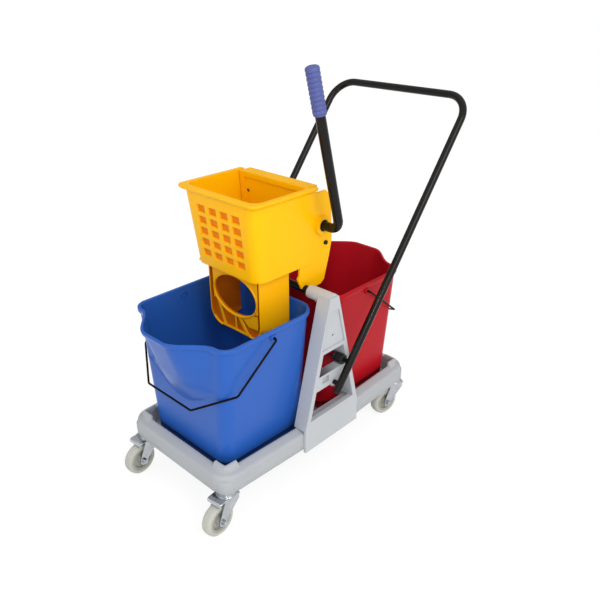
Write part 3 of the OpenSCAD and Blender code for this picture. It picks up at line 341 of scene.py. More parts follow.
def tread_rubber(name, colour):
    """Grey non-marking rubber with specks and a dusty tread."""
    f = Finish(name)
    specks = f.ramp(f.noise(520.0, 3.0, 0.7), (0.55, 0.0), (0.68, 1.0))
    dust = f.noise(24.0, 4.0, 0.6)
    base = f.mix(dust, shade(colour, 0.86), shade(colour, 1.10))
    f.set(
        Base_Color=f.mix(specks * 0.22, base, shade(colour, 0.6)),
        Roughness=0.62 + dust * 0.16,
        Normal=f.bump(specks + dust, 0.10, 0.0005, f.soft_edge(0.0008)),
    )
    return f.material


def grip_vinyl(name, colour):
    """Soft vinyl of the lever grip."""
    f = Finish(name)
    bloom = f.noise(48.0, 4.0, 0.6)
    pores = f.noise(1100.0, 2.0)
    f.set(
        Base_Color=f.mix(bloom, shade(colour, 0.85), shade(colour, 1.18)),
        Roughness=0.46 + bloom * 0.14,
        Normal=f.bump(pores, 0.12, 0.0005),
    )
    return f.material


# Meshes


def put(name, points, faces, body, material, replaces=(), smooth=40.0):
    """Makes one piece from points about the middle of the base, riding on a body."""
    mesh = bpy.data.meshes.new(name)
    places = [tuple(p) for p in np.asarray(points, float) + np.array(MIDDLE)]
    mesh.from_pydata(places, [], [tuple(int(i) for i in f) for f in faces])
    mesh.validate()
    mesh.materials.append(material)
    piece = bpy.data.objects.new(name, mesh)
    bpy.context.scene.collection.objects.link(piece)
    mesh.shade_smooth()
    mesh.set_sharp_from_angle(angle=math.radians(smooth))
    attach(piece, body)
    if replaces:
        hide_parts(*replaces)
    return piece


def smoothing_group():
    """Geometry nodes that join split corners and keep edges over 32 degrees sharp."""
    group = bpy.data.node_groups.get("smooth_by_angle")
    if group:
        return group
    group = bpy.data.node_groups.new("smooth_by_angle", "GeometryNodeTree")
    group.interface.new_socket("Geometry", in_out="INPUT", socket_type="NodeSocketGeometry")
    group.interface.new_socket("Geometry", in_out="OUTPUT", socket_type="NodeSocketGeometry")
    n = Nodes(group)
    split = n.node("NodeGroupInput")
    whole = n.node("GeometryNodeMergeByDistance", None, {"Geometry": split, "Distance": 0.00001})
    smooth = n.node("GeometryNodeSetShadeSmooth", None, {"Geometry": whole})
    angle = n.node("GeometryNodeInputMeshEdgeAngle", out="Unsigned Angle")
    limit = math.radians(32)
    sharp = n.node("FunctionNodeCompare", {"operation": "GREATER_THAN"}, {0: angle, 1: limit})
    edges = n.node(
        "GeometryNodeSetShadeSmooth",
        {"domain": "EDGE"},
        {"Geometry": smooth, "Selection": sharp, "Shade Smooth": False},
    )
    n.node("NodeGroupOutput", None, {0: edges})
    return group


def finish_node(node, material, bevel=0.0):
    """Gives a CAD node its finish, smooth shading and, where asked for, rounded edges."""
    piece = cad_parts[node]
    piece.data.materials.clear()
    piece.data.materials.append(material)
    normals = piece.data.attributes.get("custom_normal")
    if normals:
        piece.data.attributes.remove(normals)
    piece.modifiers.new("smooth", "NODES").node_group = smoothing_group()
    if bevel:
        rounding = piece.modifiers.new("rounding", "BEVEL")
        rounding.width = bevel
        rounding.segments = 3
        rounding.limit_method = "ANGLE"
        rounding.angle_limit = math.radians(34)
        rounding.use_clamp_overlap = True


def ring_faces(rings, n, closed=False):
    """Quads between successive rings of n points each, and from the last to the first if closed."""
    faces = []
    for k in range(rings if closed else rings - 1):
        a, b = k * n, ((k + 1) % rings) * n
        for i in range(n):
            j = (i + 1) % n
            faces.append((a + i, a + j, b + j, b + i))
    return faces


def lathe(profile, origin, axis, turn, n=40):
    """Points and faces of a profile of (radius, height) in mm, turned about an axis at an origin."""
    axis = np.asarray(axis, float)
    axis = axis / np.linalg.norm(axis)
    side = np.cross(axis, np.asarray(turn, float))
    side = side / np.linalg.norm(side)
    other = np.cross(axis, side)
    points = []
    for radius, height in profile:
        centre = np.asarray(origin, float) + axis * (height * MM)
        for i in range(n):
            a = 2 * math.pi * i / n
            points.append(centre + radius * MM * (math.cos(a) * side + math.sin(a) * other))
    return points, ring_faces(len(profile), n)


def joined(*parts):
    """One list of points and faces from several."""
    points, faces = [], []
    for part_points, part_faces in parts:
        start = len(points)
        points.extend(part_points)
        faces.extend(tuple(i + start for i in f) for f in part_faces)
    return points, faces


def lerp(a, b, t):
    """Value at share t of the way from a to b."""
    return a + (b - a) * t


def ease(t):
    """Smooth step from 0 to 1."""
    t = min(max(t, 0.0), 1.0)
    return t * t * (3 - 2 * t)


def half_turn(points):
    """The same points at the other end of the trolley."""
    return [(-x, -y, z) for x, y, z in points]


# Stage


def studio_world(strength):
    """Soft light that is strongest from over the key lamp, on a white background."""
    world = bpy.data.worlds.new("studio")
    world.use_nodes = True
    world.node_tree.nodes.clear()
    n = Nodes(world.node_tree)
    key_side = Vector((-0.30, -0.55, 0.78)).normalized()
    facing = n.node(
        "ShaderNodeVectorMath",
        {"operation": "DOT_PRODUCT"},
        {0: n.node("ShaderNodeTexCoord", out="Generated"), 1: key_side},
        out="Value",
    )
    soft = n.node(
        "ShaderNodeMapRange",
        {"interpolation_type": "SMOOTHSTEP"},
        {"Value": facing, "From Min": -1.0, "To Min": 0.12, "To Max": strength},
    )
    seen = n.seen_by("Camera", "Transmission")
    level = n.node("ShaderNodeMapRange", None, {"Value": seen, "To Min": soft, "To Max": 1.0})
    white = n.node("ShaderNodeBackground", None, {"Color": (1, 1, 1, 1), "Strength": level})
    n.node("ShaderNodeOutputWorld", None, {"Surface": white})
    return world


def pale_floor():
    """Floor that looks almost white and keeps the object's shadow."""
    half = 40
    square = [(x * half, y * half, 0) for x, y in ((-1, -1), (1, -1), (1, 1), (-1, 1))]
    mesh = bpy.data.meshes.new("floor")
    mesh.from_pydata(square, [], [(0, 1, 2, 3)])
    pale = bpy.data.materials.new("pale_floor")
    pale.use_nodes = True
    pale.node_tree.nodes.clear()
    n = Nodes(pale.node_tree)
    matte = n.node("ShaderNodeBsdfDiffuse", None, {"Color": (0.9, 0.9, 0.9, 1)})
    white = n.node("ShaderNodeEmission", None, {"Strength": 1.07})
    share = n.seen_by("Camera", "Glossy") * 0.80
    mixed = n.node("ShaderNodeMixShader", None, {0: share, 1: matte, 2: white})
    n.node("ShaderNodeOutputMaterial", None, {"Surface": mixed})
    mesh.materials.append(pale)
    return bpy.data.objects.new("floor", mesh)


class TROLLEY_OT_stage(bpy.types.Operator):
    """Floor, even studio light and the camera"""

    bl_idname = "trolley.stage"
    bl_label = "Stage"

    def execute(self, context):
        scene = context.scene
        s = scene.trolley_stage
        scene.view_settings.view_transform = "Standard"
        scene.world = studio_world(s.world_strength)
        floor_piece = pale_floor()
        scene.collection.objects.link(floor_piece)

        def lamp(name, watts, size, place, target):
            """Adds a round lamp that points at a target."""
            data = bpy.data.lights.new(name, "AREA")
            data.energy = watts
            data.shape = "DISK"
            data.size = size
            light = bpy.data.objects.new(name, data)
            light.location = place
            aim = Vector(target) - Vector(place)
            light.rotation_euler = aim.to_track_quat("-Z", "Y").to_euler()
            scene.collection.objects.link(light)

        lamp("key", s.key_power, 1.8, (-0.65, -2.70, 2.65), (0, 0, 0.4))
        lamp("front", s.front_power, 0.30, (-1.75, -1.75, 2.15), (-0.1, 0, 0.4))
        lamp("low", s.low_power, 0.35, (-1.55, -1.60, 0.22), (-0.1, 0, 0.45))
        lamp("fill", s.fill_power, 1.6, (-2.6, 0.2, 1.7), (0, 0, 0.4))

        camera = bpy.data.objects.new("camera", bpy.data.cameras.new("camera"))
        scene.collection.objects.link(camera)
        camera.data.lens = s.lens
        camera.data.sensor_width = 36.0
        camera.data.shift_x = -0.0112
        camera.data.clip_end = 60.0
        a, e = math.radians(s.azimuth), math.radians(s.elevation)
        back = Vector((math.sin(a) * math.cos(e), -math.cos(a) * math.cos(e), math.sin(e)))
        camera.location = Vector(s.camera_place) + MIDDLE
        camera.rotation_euler = (-back).to_track_quat("-Z", "Y").to_euler()
        scene.camera = camera
        return {"FINISHED"}


# Finishes by name


def painted_foot_shade(f):
    """Painted shade: a dark line round the outside of a bucket's foot, where it stands behind the rim
    of the base.
    """
    low, rise = 0.0358, 0.0243
    x, y = f.axis("X") - MIDDLE.x, f.axis("Y")
    line = abs(x) * rise + (MIDDLE.z + low)
    end = (x > 0.0) * 2.0 - 1.0
    outward = (x - end * BUCKET_MIDDLE) * f.facing("X") + y * f.facing("Y")
    above = f.axis("Z") - line
    band = above.between(-0.016, -0.006) * (1.0 - above.between(-0.002, 0.001))
    return band * (outward > 0.005)


def plate_hole_shade(f):
    """Painted shade: the walls of the small hole near the top of the press plate, which the finish
    makes almost black.
    """
    hole_y, hole_z, radius = 0.084, 0.573, 0.0043
    y, z = f.axis("Y") - hole_y, f.axis("Z") - (MIDDLE.z + hole_z)
    return y * y + z * z < radius * radius


def waffle(f):
    """Painted shade in the waffle pockets, rising with depth behind the sloping front of the basket.
    """
    height = f.axis("Z") - (MIDDLE.z + BASKET_LOW)
    front = height * BASKET_SLOPE + (BASKET_FRONT_LOW - MIDDLE.x)
    return (f.axis("X") + front).between(0.0008, 0.0056)


def chute_inside_shade(f):
    """Painted shade on everything behind the front face of the chute and within its curved side walls,
    and in the grooves beside the front face.
    """
    x, across, z = f.axis("X") - MIDDLE.x, abs(f.axis("Y")), f.axis("Z") - MIDDLE.z
    taper = (CHUTE_BEND - CHUTE_REAR_BEND) / (CHUTE_REAR - CHUTE_FRONT)
    bend = CHUTE_BEND * MM - (x - CHUTE_FRONT * MM) * taper
    over = (across + bend - CHUTE_HALF * MM).at_least(0.0)
    under = (CHUTE_LOW * MM + bend - z).at_least(0.0)
    inner = bend - 0.0028
    groove = (across > 0.0775) * (x > -0.1326)
    behind = (x.between(-0.1290, -0.1265) + groove).at_most(1.0)
    return behind * (over * over + under * under < inner * inner)


def finishes(context):
    """All finishes by name, made at the first call."""
    c = context.scene.trolley_finish
    # The chute takes a more orange copy of the yellow, as painted shade.
    shaded_chute_yellow = (c.yellow[0], c.yellow[1] * 0.93, c.yellow[2])
    black, cream = (0.02, 0.02, 0.02), (0.36, 0.36, 0.32)

    def plastic(colour, roughness, **settings):
        return lambda name: moulded_plastic(name, colour, roughness, **settings)

    # Painted shade at the foot of each bucket, darker on the red one.
    blue_foot_shade = {"deep": painted_foot_shade, "tint": (0.3, 0.22, 0.2)}
    red_foot_shade = {"deep": painted_foot_shade, "tint": (0.2, 0.2, 0.2)}
    makers = {
        "grey_moulding": plastic(c.grey, 0.42, grain=0.08),
        # The side frames take a lighter copy of the base grey: painted light.
        "frame_moulding": plastic(shade(c.grey, 1.17), 0.42, grain=0.08),
        "blue_moulding": plastic(c.blue, 0.26, gloss=0.22, **blue_foot_shade),
        "red_moulding": plastic(c.red, 0.28, gloss=0.08, **red_foot_shade),
        "yellow_moulding": plastic(c.yellow, 0.27),
        # Painted shade in the hole of the press plate.
        "yellow_plate": plastic(c.yellow, 0.30, deep=plate_hole_shade, tint=(0.06, 0.04, 0.04)),
        # Painted shade in the waffle pockets.
        "yellow_recess": plastic(c.yellow, 0.36, deep=waffle, tint=(0.80, 0.44, 0.12)),
        # Painted shade inside the chute.
        "yellow_chute": plastic(shaded_chute_yellow, 0.30, deep=chute_inside_shade, tint=(0.56, 0.30, 0.3)),
        "black_moulding": plastic(black, 0.42),
        "wheel_moulding": plastic(cream, 0.5),
        "black_coat": lambda name: coated_tube(name, c.black),
        "wire_coat": lambda name: coated_tube(name, shade(c.black, 0.6), 0.32, 0.06),
        "bright_zinc": zinc_plate,
        "grey_tread": lambda name: tread_rubber(name, c.tread),
        "beaded_vinyl": lambda name: grip_vinyl(name, c.grip),
    }
    return {name: bpy.data.materials.get(name) or make(name) for name, make in makers.items()}


# Pieces


class TROLLEY_OT_solids(bpy.types.Operator):
    """Finishes of the pieces whose solids show as they are"""

    bl_idname = "trolley.solids"
    bl_label = "Solids"

    def execute(self, context):
        f = finishes(context)
        tubes = ("cross_tube", "push_handle", "handle_studs", "lever_tube", "tie_rod")
        screws = ("side_frame_screws", "cross_tube_screws", "chute_screws", "press_pins")
        metal = ("handle_nuts", "castor_stems", "castor_nuts", "cam_roller", "lever_clip")
        groups = (
            ("grey_moulding", 0.0, ("base_tray",)),
            ("frame_moulding", 0.0014, ("left_side_frame", "right_side_frame")),
            ("black_coat", 0.0, tubes),
            ("wire_coat", 0.0, ("blue_bail", "red_bail")),
            ("bright_zinc", 0.0, screws + metal),
            ("black_moulding", 0.0, ("handle_plugs", "axle_bushes", "cam_arms")),
            ("blue_moulding", 0.0, ("blue_bucket",)),
            ("red_moulding", 0.0, ("red_bucket",)),
            ("yellow_moulding", 0.0, ("wringer_basket",)),
            ("yellow_chute", 0.0010, ("wringer_chute",)),
            ("yellow_plate", 0.0010, ("press_plate",)),
            ("beaded_vinyl", 0.0, ("lever_grip",)),
        )
        for finish, bevel, nodes in groups:
            for node in nodes:
                finish_node(node, f[finish], bevel)
        for corner in CORNERS:
            finish_node("fork_" + corner, f["bright_zinc"], 0.0009)
            finish_node("axle_" + corner, f["bright_zinc"], 0.0005)
            finish_node("core_" + corner, f["wheel_moulding"])
            finish_node("tyre_" + corner, f["grey_tread"])
        return {"FINISHED"}


def bucket_stations():
    """Stations round a bucket: two corner points as (end, side, angle) and a share between them."""
    stations = []

    def arc(end, side, a, b, n):
        stations.extend(((end, side, lerp(a, b, i / n)), None, 0.0) for i in range(n + 1))

    def straight(a, b, n):
        stations.extend((a, b, i / n) for i in range(1, n))

    straight((-1, -1, 270), (1, -1, 270), 9)
    arc(1, -1, -90, 0, 14)
    straight((1, -1, 0), (1, 1, 0), 9)
    arc(1, 1, 0, 90, 14)
    straight((1, 1, 90), (-1, 1, 90), 9)
    arc(-1, 1, 90, 180, 14)
    straight((-1, 1, 180), (-1, -1, 180), 56)
    arc(-1, -1, 180, 270, 14)
    return stations


def bucket_mesh(b):
    """Skin of one bucket at the wringer end, with its spout, rolled lip and bail ears."""
    stations = bucket_stations()
    # Corner radius at each end of a bucket, and the end's place at the floor and at the rim.
    ends = {1: (0.050, -0.030, -0.023), -1: (0.030, -0.2965, -0.300)}
    # The crease under the spout rises from its middle to its sides.
    crease_low, crease_high = 0.170, 0.234
    spout_flat, spout_half = 0.030, 0.130

    def corner(point, f, o):
        """Point of a rounded corner at share f of the height, moved outward by o."""
        end, side, angle = point
        radius, low, top = ends[end]
        r = radius + o
        w = lerp(b.half_width_floor, b.half_width_rim, f) + o
        cx = lerp(low, top, f) + end * (o - r)
        a = math.radians(angle)
        return cx + r * math.cos(a), side * (w - r) + r * math.sin(a)

    def outline(station, f, o):
        """Point of the outline at a station."""
        x0, y0 = corner(station[0], f, o)
        if station[1] is None:
            return x0, y0
        x1, y1 = corner(station[1], f, o)
        return lerp(x0, x1, station[2]), lerp(y0, y1, station[2])

    spout = []
    for station in stations:
        front = station[1] is not None and station[0][0] < 0 and station[1][0] < 0
        y = abs(outline(station, 1.0, 0.0)[1])
        start, reach = crease_high, 0.0
        if front:
            start = lerp(crease_low, crease_high, min(1.0, y / spout_half) ** 2)
            reach = b.spout_reach * (1 - ease((y - spout_flat) / (spout_half - spout_flat)))
        spout.append((start, reach))

    def ring(v, o, dz, crease=0.0):
        """Points round the bucket: v runs from 0 at the floor over 1 at the crease to 2 at the rim."""
        points = []
        for station, (start, reach) in zip(stations, spout):
            if v <= 1:
                z = lerp(b.floor_height, start, v) + dz
                share = 0.0
            else:
                z = lerp(start, b.rim_height, v - 1) + dz
                share = max(0.0, (z - start) / (b.rim_height - start)) ** 0.8
            inset = crease * (reach / b.spout_reach) ** 0.5
            f = (z - b.floor_height) / (b.rim_height - b.floor_height)
            x, y = outline(station, f, o - inset)
            points.append((x - reach * share, y, z))
        return points

    # Steps of the foot, the rolled lip and the inside corner, outward and up, in mm.
    foot = ((-7, 0), (-4.6, 0.4), (-2.5, 1.5), (-1.0, 3.3), (-0.2, 5.2), (0, 7.5))
    lip = (
        (0, -13), (0, -11.6), (0.5, -11.2), (3.4, -11.0), (4.5, -10.5), (5, -9.4), (5, -3.0),
        (4.7, -1.6), (4.0, -0.6), (3.0, -0.1), (1.6, 0), (-0.8, 0), (-2.1, -0.4), (-2.8, -1.2),
        (-3, -2.6), (-3, -6),
    )
    heel = ((-3, 15), (-3.5, 9.5), (-5.0, 5.8), (-7.6, 3.8), (-11, 3.0))
    rings = [ring(0, o * MM, dz * MM) for o, dz in foot]
    below = (0.12, 0.3, 0.5, 0.7, 0.85, 0.95, 0.985, 1.0)
    walls = below + (1.02, 1.06, 1.15, 1.3, 1.5, 1.7, 1.85)
    rings += [ring(v, 0, 0, 0.0016 if v == 1.0 else 0) for v in walls]
    rings += [ring(2, o * MM, dz * MM) for o, dz in lip]
    rings += [ring(v, -b.wall, 0) for v in reversed(walls)]
    rings += [ring(0, o * MM, dz * MM) for o, dz in heel]
    n = len(stations)
    points = [p for r in rings for p in r]
    faces = ring_faces(len(rings), n)
    first = len(points)
    points += [(-BUCKET_MIDDLE, 0, b.floor_height), (-BUCKET_MIDDLE, 0, b.floor_height + b.wall)]
    last = (len(rings) - 1) * n
    for i in range(n):
        j = (i + 1) % n
        faces.append((first, j, i))
        faces.append((first + 1, last + i, last + j))
    parts = [(points, faces)]
    ear = (
        (8.6, 0), (8.2, 6), (8.0, 9.2), (7.6, 10.4), (6.8, 11.0), (4.2, 11.0), (3.6, 10.6),
        (3.4, 9.8), (3.4, 4.2), (0.01, 4.2),
    )
    ear_y, ear_z = 0.153, 0.329
    for side in (-1, 1):
        place = (-BUCKET_MIDDLE, side * ear_y, ear_z)
        parts.append(lathe(ear, place, (0, side, 0), (0, 0, 1)))
    return joined(*parts)


class TROLLEY_OT_buckets(bpy.types.Operator):
    """The two buckets with their spouts, rolled lips and bail ears"""

    bl_idname = "trolley.buckets"
    bl_label = "Buckets"

    def execute(self, context):
        b = context.scene.trolley_bucket
        f = finishes(context)
        blue, red = f["blue_moulding"], f["red_moulding"]
        points, faces = bucket_mesh(b)
        turned = half_turn(points)
        put("blue_bucket_skin", points, faces, "blue_pail", blue, ("blue_bucket",))
        put("red_bucket_skin", turned, faces, "red_pail", red, ("red_bucket",))
        return {"FINISHED"}


class TROLLEY_OT_grip(bpy.types.Operator):
    """Beaded vinyl grip on the lever"""

    bl_idname = "trolley.grip"
    bl_label = "Grip"

    def execute(self, context):
        lean = math.radians(14.8)
        axis = np.array((-math.sin(lean), 0, math.cos(lean)))
        bend, along = np.array((0.044, -0.168, 0.522)), 0.272
        profile = [(11.2, 2.0), (11.2, 0.0), (12.8, 0.0), (13.8, 0.6), (14.2, 1.6)]
        beads, pitch, steps = 9, 9.4, 8
        for k in range(beads * steps + 1):
            t = k / steps
            swell = abs(math.sin(math.pi * t)) ** 0.7
            profile.append((13.4 + 1.5 * swell, 3.0 + pitch * t))
        profile += [(14.7, 89.0), (14.9, 91.5), (14.6, 94.0), (13.5, 96.2), (11.2, 97.5)]
        profile += [(7.0, 97.9), (0.2, 98.0)]
        points, faces = lathe(profile, bend + axis * along, axis, (0, 1, 0), 48)
        vinyl = finishes(context)["beaded_vinyl"]
        put("beaded_grip", points, faces, "lever", vinyl, ("lever_grip",), 60.0)
        return {"FINISHED"}


class TROLLEY_OT_pockets(bpy.types.Operator):
    """Tapered linings of the waffle pockets on the basket front"""

    bl_idname = "trolley.pockets"
    bl_label = "Waffle pockets"

    def execute(self, context):
        columns, rows, pitch_y, pitch_z, lower = 4, 5, 0.038, 0.027, 0.006
        tilt = math.atan(BASKET_SLOPE)
        middle_x, middle_z = -(BASKET_FRONT_LOW + BASKET_FRONT_TOP) / 2, (BASKET_LOW + BASKET_TOP) / 2
        across = np.array((0, 1, 0))
        up = np.array((-math.sin(tilt), 0, math.cos(tilt)))
        inward = np.array((math.cos(tilt), 0, math.sin(tilt)))
        middle = np.array((middle_x, 0, middle_z)) - up * lower
        # Half width, half height and depth of the loops of one lining, in mm.
        loops = (
            (14.0, 9.5, 0.15), (13.7, 9.2, 0.6), (11.8, 7.4, 5.6), (11.0, 6.6, 6.3), (10.0, 5.6, 6.6),
        )
        last = 4 * (len(loops) - 1)
        lining = ring_faces(len(loops), 4) + [tuple(range(last, last + 4))]
        parts = []
        for i in range(columns):
            for k in range(rows):
                y, z = (i - (columns - 1) / 2) * pitch_y, (k - (rows - 1) / 2) * pitch_z
                centre = middle + across * y + up * z
                points = [
                    centre + (across * (sy * half_y) + up * (sz * half_z) + inward * deep) * MM
                    for half_y, half_z, deep in loops
                    for sy, sz in ((-1, -1), (1, -1), (1, 1), (-1, 1))
                ]
                parts.append((points, lining))
        points, faces = joined(*parts)
        # The linings take painted shade, darker and more orange with depth.
        yellow = finishes(context)["yellow_recess"]
        put("waffle_pockets", points, faces, "wringer", yellow, (), 30.0)
        return {"FINISHED"}


def base_mesh():
    """Hollow rim of the base with its corner guides, floor, middle beam and castor bosses."""
    half_l, half_w, r = 0.340, 0.180, 0.046
    # The long sides widen in straight lines from the corners to the side frames.
    wall_y, mid = 0.188, 0.100
    run, flare = half_l - r - mid, wall_y - half_w
    slant = math.acos(r / math.hypot(run, flare + r)) - math.atan2(run, flare + r)
    deg = math.degrees(slant)
    # Sections of the rim from the outside edge inward and up, in mm: plain, at a guide, and below.
    outside = (
        (0.7, 0), (0, 0.9), (0, 20), (0, 37), (0.25, 40), (1, 42.8), (2.4, 44.8), (4.2, 46.0),
        (7, 47.2), (9, 47.9), (10.5, 48.4), (12, 48.9),
    )
    plain = outside + (
        (14, 49.6), (16, 50.3), (18, 51), (20, 51.6), (21.5, 51.95), (23.4, 52), (24.9, 51.9),
        (25.7, 51.4), (26, 50.6), (26, 47), (26, 45.5), (26, 44.5), (26, 20), (26, 12.4),
    )
    raised = outside + (
        (13.6, 49.4), (14.6, 50.4), (17, 53.6), (19.5, 57.0), (21.5, 59.7), (23, 61.3), (24.2, 61.9),
        (26.8, 62), (27.7, 61.6), (28, 60.6), (28, 47.5), (26, 46), (26, 20), (26, 12.4),
    )
    under = (
        (26, 8.2), (22.2, 8.2), (22, 8.6), (22, 47.2), (7.5, 42), (5, 41), (4, 38), (4, 1.0), (3.4, 0),
    )
    guide_run, guide_fall = 0.012, 0.0045
    steps = (0.004, 0.008, 0.011) + tuple(guide_run + guide_fall * i / 8 for i in range(9))
    # Stations round the rim: place, inward direction, height of the guide, and if it is in a corner.
    stations = []

    def guide(distance):
        """Height of a corner guide at a distance from its corner, as a share."""
        return 1.0 - ease((distance - guide_run) / guide_fall)

    def sharpen(inward, d):
        """Distance that a point at depth d in a rounded corner moves out to a squarer corner."""
        spread = 1 / max(abs(inward)) - 1
        return (r - d) * spread * 0.8 * ease((d - 0.012) / 0.010)

    def corner_point(sx, sy, angle):
        """Place on a rounded corner at an angle in degrees, and the inward direction there."""
        t = math.radians(angle)
        out = np.array((math.cos(t), math.sin(t)))
        return np.array((sx * (half_l - r), sy * (half_w - r))) + r * out, -out

    def arc(sx, sy, a, b, n=18):
        """Stations round a corner."""
        for i in range(n + 1):
            stations.append((*corner_point(sx, sy, lerp(a, b, i / n)), 1.0, True))

    def short_side(sx, first):
        """Stations along one end of the base."""
        a, b = (corner_point(sx, sy, 0 if sx > 0 else 180)[0] for sy in (first, -first))
        inward = np.array((-float(sx), 0.0))
        length = np.linalg.norm(b - a)
        places = set(steps) | {length - d for d in steps}
        places |= {length * q for q in (0.3, 0.4, 0.5, 0.6, 0.7)}
        for d in sorted(places):
            lift = max(guide(d), guide(length - d))
            stations.append((lerp(a, b, d / length), inward, lift, False))

    def long_side(sy, first):
        """Stations along one side, in two straight runs."""
        rays = []
        for sx in (first, -first):
            joint = np.array((sx * mid, sy * wall_y))
            tip, inward = corner_point(sx, sy, (90 - deg if sx > 0 else 90 + deg) * sy)
            straight_in = np.array((0.0, -sy))
            mitre = (inward + straight_in) / (1 + inward @ straight_in)
            length = np.linalg.norm(joint - tip)
            ray = [(lerp(tip, joint, d / length), inward, guide(d), False) for d in steps]
            ray += [(lerp(tip, joint, q), inward, 0.0, False) for q in (0.4, 0.7)]
            ray.append((joint, mitre, 0.0, False))
            rays.append(ray)
        stations.extend(rays[0])
        stations.extend(reversed(rays[1]))

    arc(1, 1, 0, 90 - deg)
    long_side(1, 1)
    arc(-1, 1, 90 + deg, 180)
    short_side(-1, 1)
    arc(-1, -1, 180, 270 - deg)
    long_side(-1, -1)
    arc(1, -1, 270 + deg, 360)
    short_side(1, -1)

    points = []
    for place, inward, lift, rounded in stations:
        for (d0, z0), (d1, z1) in zip(plain, raised):
            d, z = lerp(d0, d1, lift) * MM, lerp(z0, z1, lift) * MM
            if rounded:
                d -= sharpen(inward, d)
            points.append((*(place + d * inward), z))
        points += [(*(place + d * MM * inward), z * MM) for d, z in under]
    around = ring_faces(len(stations), len(plain) + len(under), closed=True)
    parts = [(points, [f[::-1] for f in around])]

    m, inset = len(stations), 0.024
    floor = [(*(p + inset * q), z) for z in (0.008, 0.012) for p, q, _, _ in stations]
    parts.append((floor, ring_faces(2, m) + [tuple(range(m))[::-1], tuple(range(m, 2 * m))]))
    boss = (
        (6.1, 0), (21.6, 0), (22.6, 0.4), (23, 1.4), (23, 27), (22.6, 29.2), (21.4, 31), (19.6, 32),
        (6.1, 32), (6.1, 0),
    )
    for sx, sy in CORNERS.values():
        parts.append(lathe(boss, (sx * CASTOR_X, sy * CASTOR_Y, 0), (0, 0, 1), (1, 0, 0), 56))
    beam, reach = [], 0.165
    for z, w in ((0.011, 0.012), (0.026, 0.012), (0.029, 0.011), (0.030, 0.009)):
        beam += [(-w, -reach, z), (w, -reach, z), (w, reach, z), (-w, reach, z)]
    parts.append((beam, ring_faces(4, 4) + [(12, 13, 14, 15)]))
    return joined(*parts)


class TROLLEY_OT_base(bpy.types.Operator):
    """Moulded base with its rounded rim, corner guides and castor bosses"""

    bl_idname = "trolley.base"
    bl_label = "Base"

    def execute(self, context):
        points, faces = base_mesh()
        grey = finishes(context)["grey_moulding"]
        put("base_moulding", points, faces, "frame", grey, ("base_tray",), 50.0)
        return {"FINISHED"}


def prism(outline, front, rear):
    """Points and faces of an outline in Y and Z from front to rear, all given in mm."""
    n = len(outline)
    points = [(x * MM, y * MM, z * MM) for x in (front, rear) for y, z in outline]
    return points, ring_faces(2, n) + [tuple(range(n)), tuple(range(n, 2 * n))]


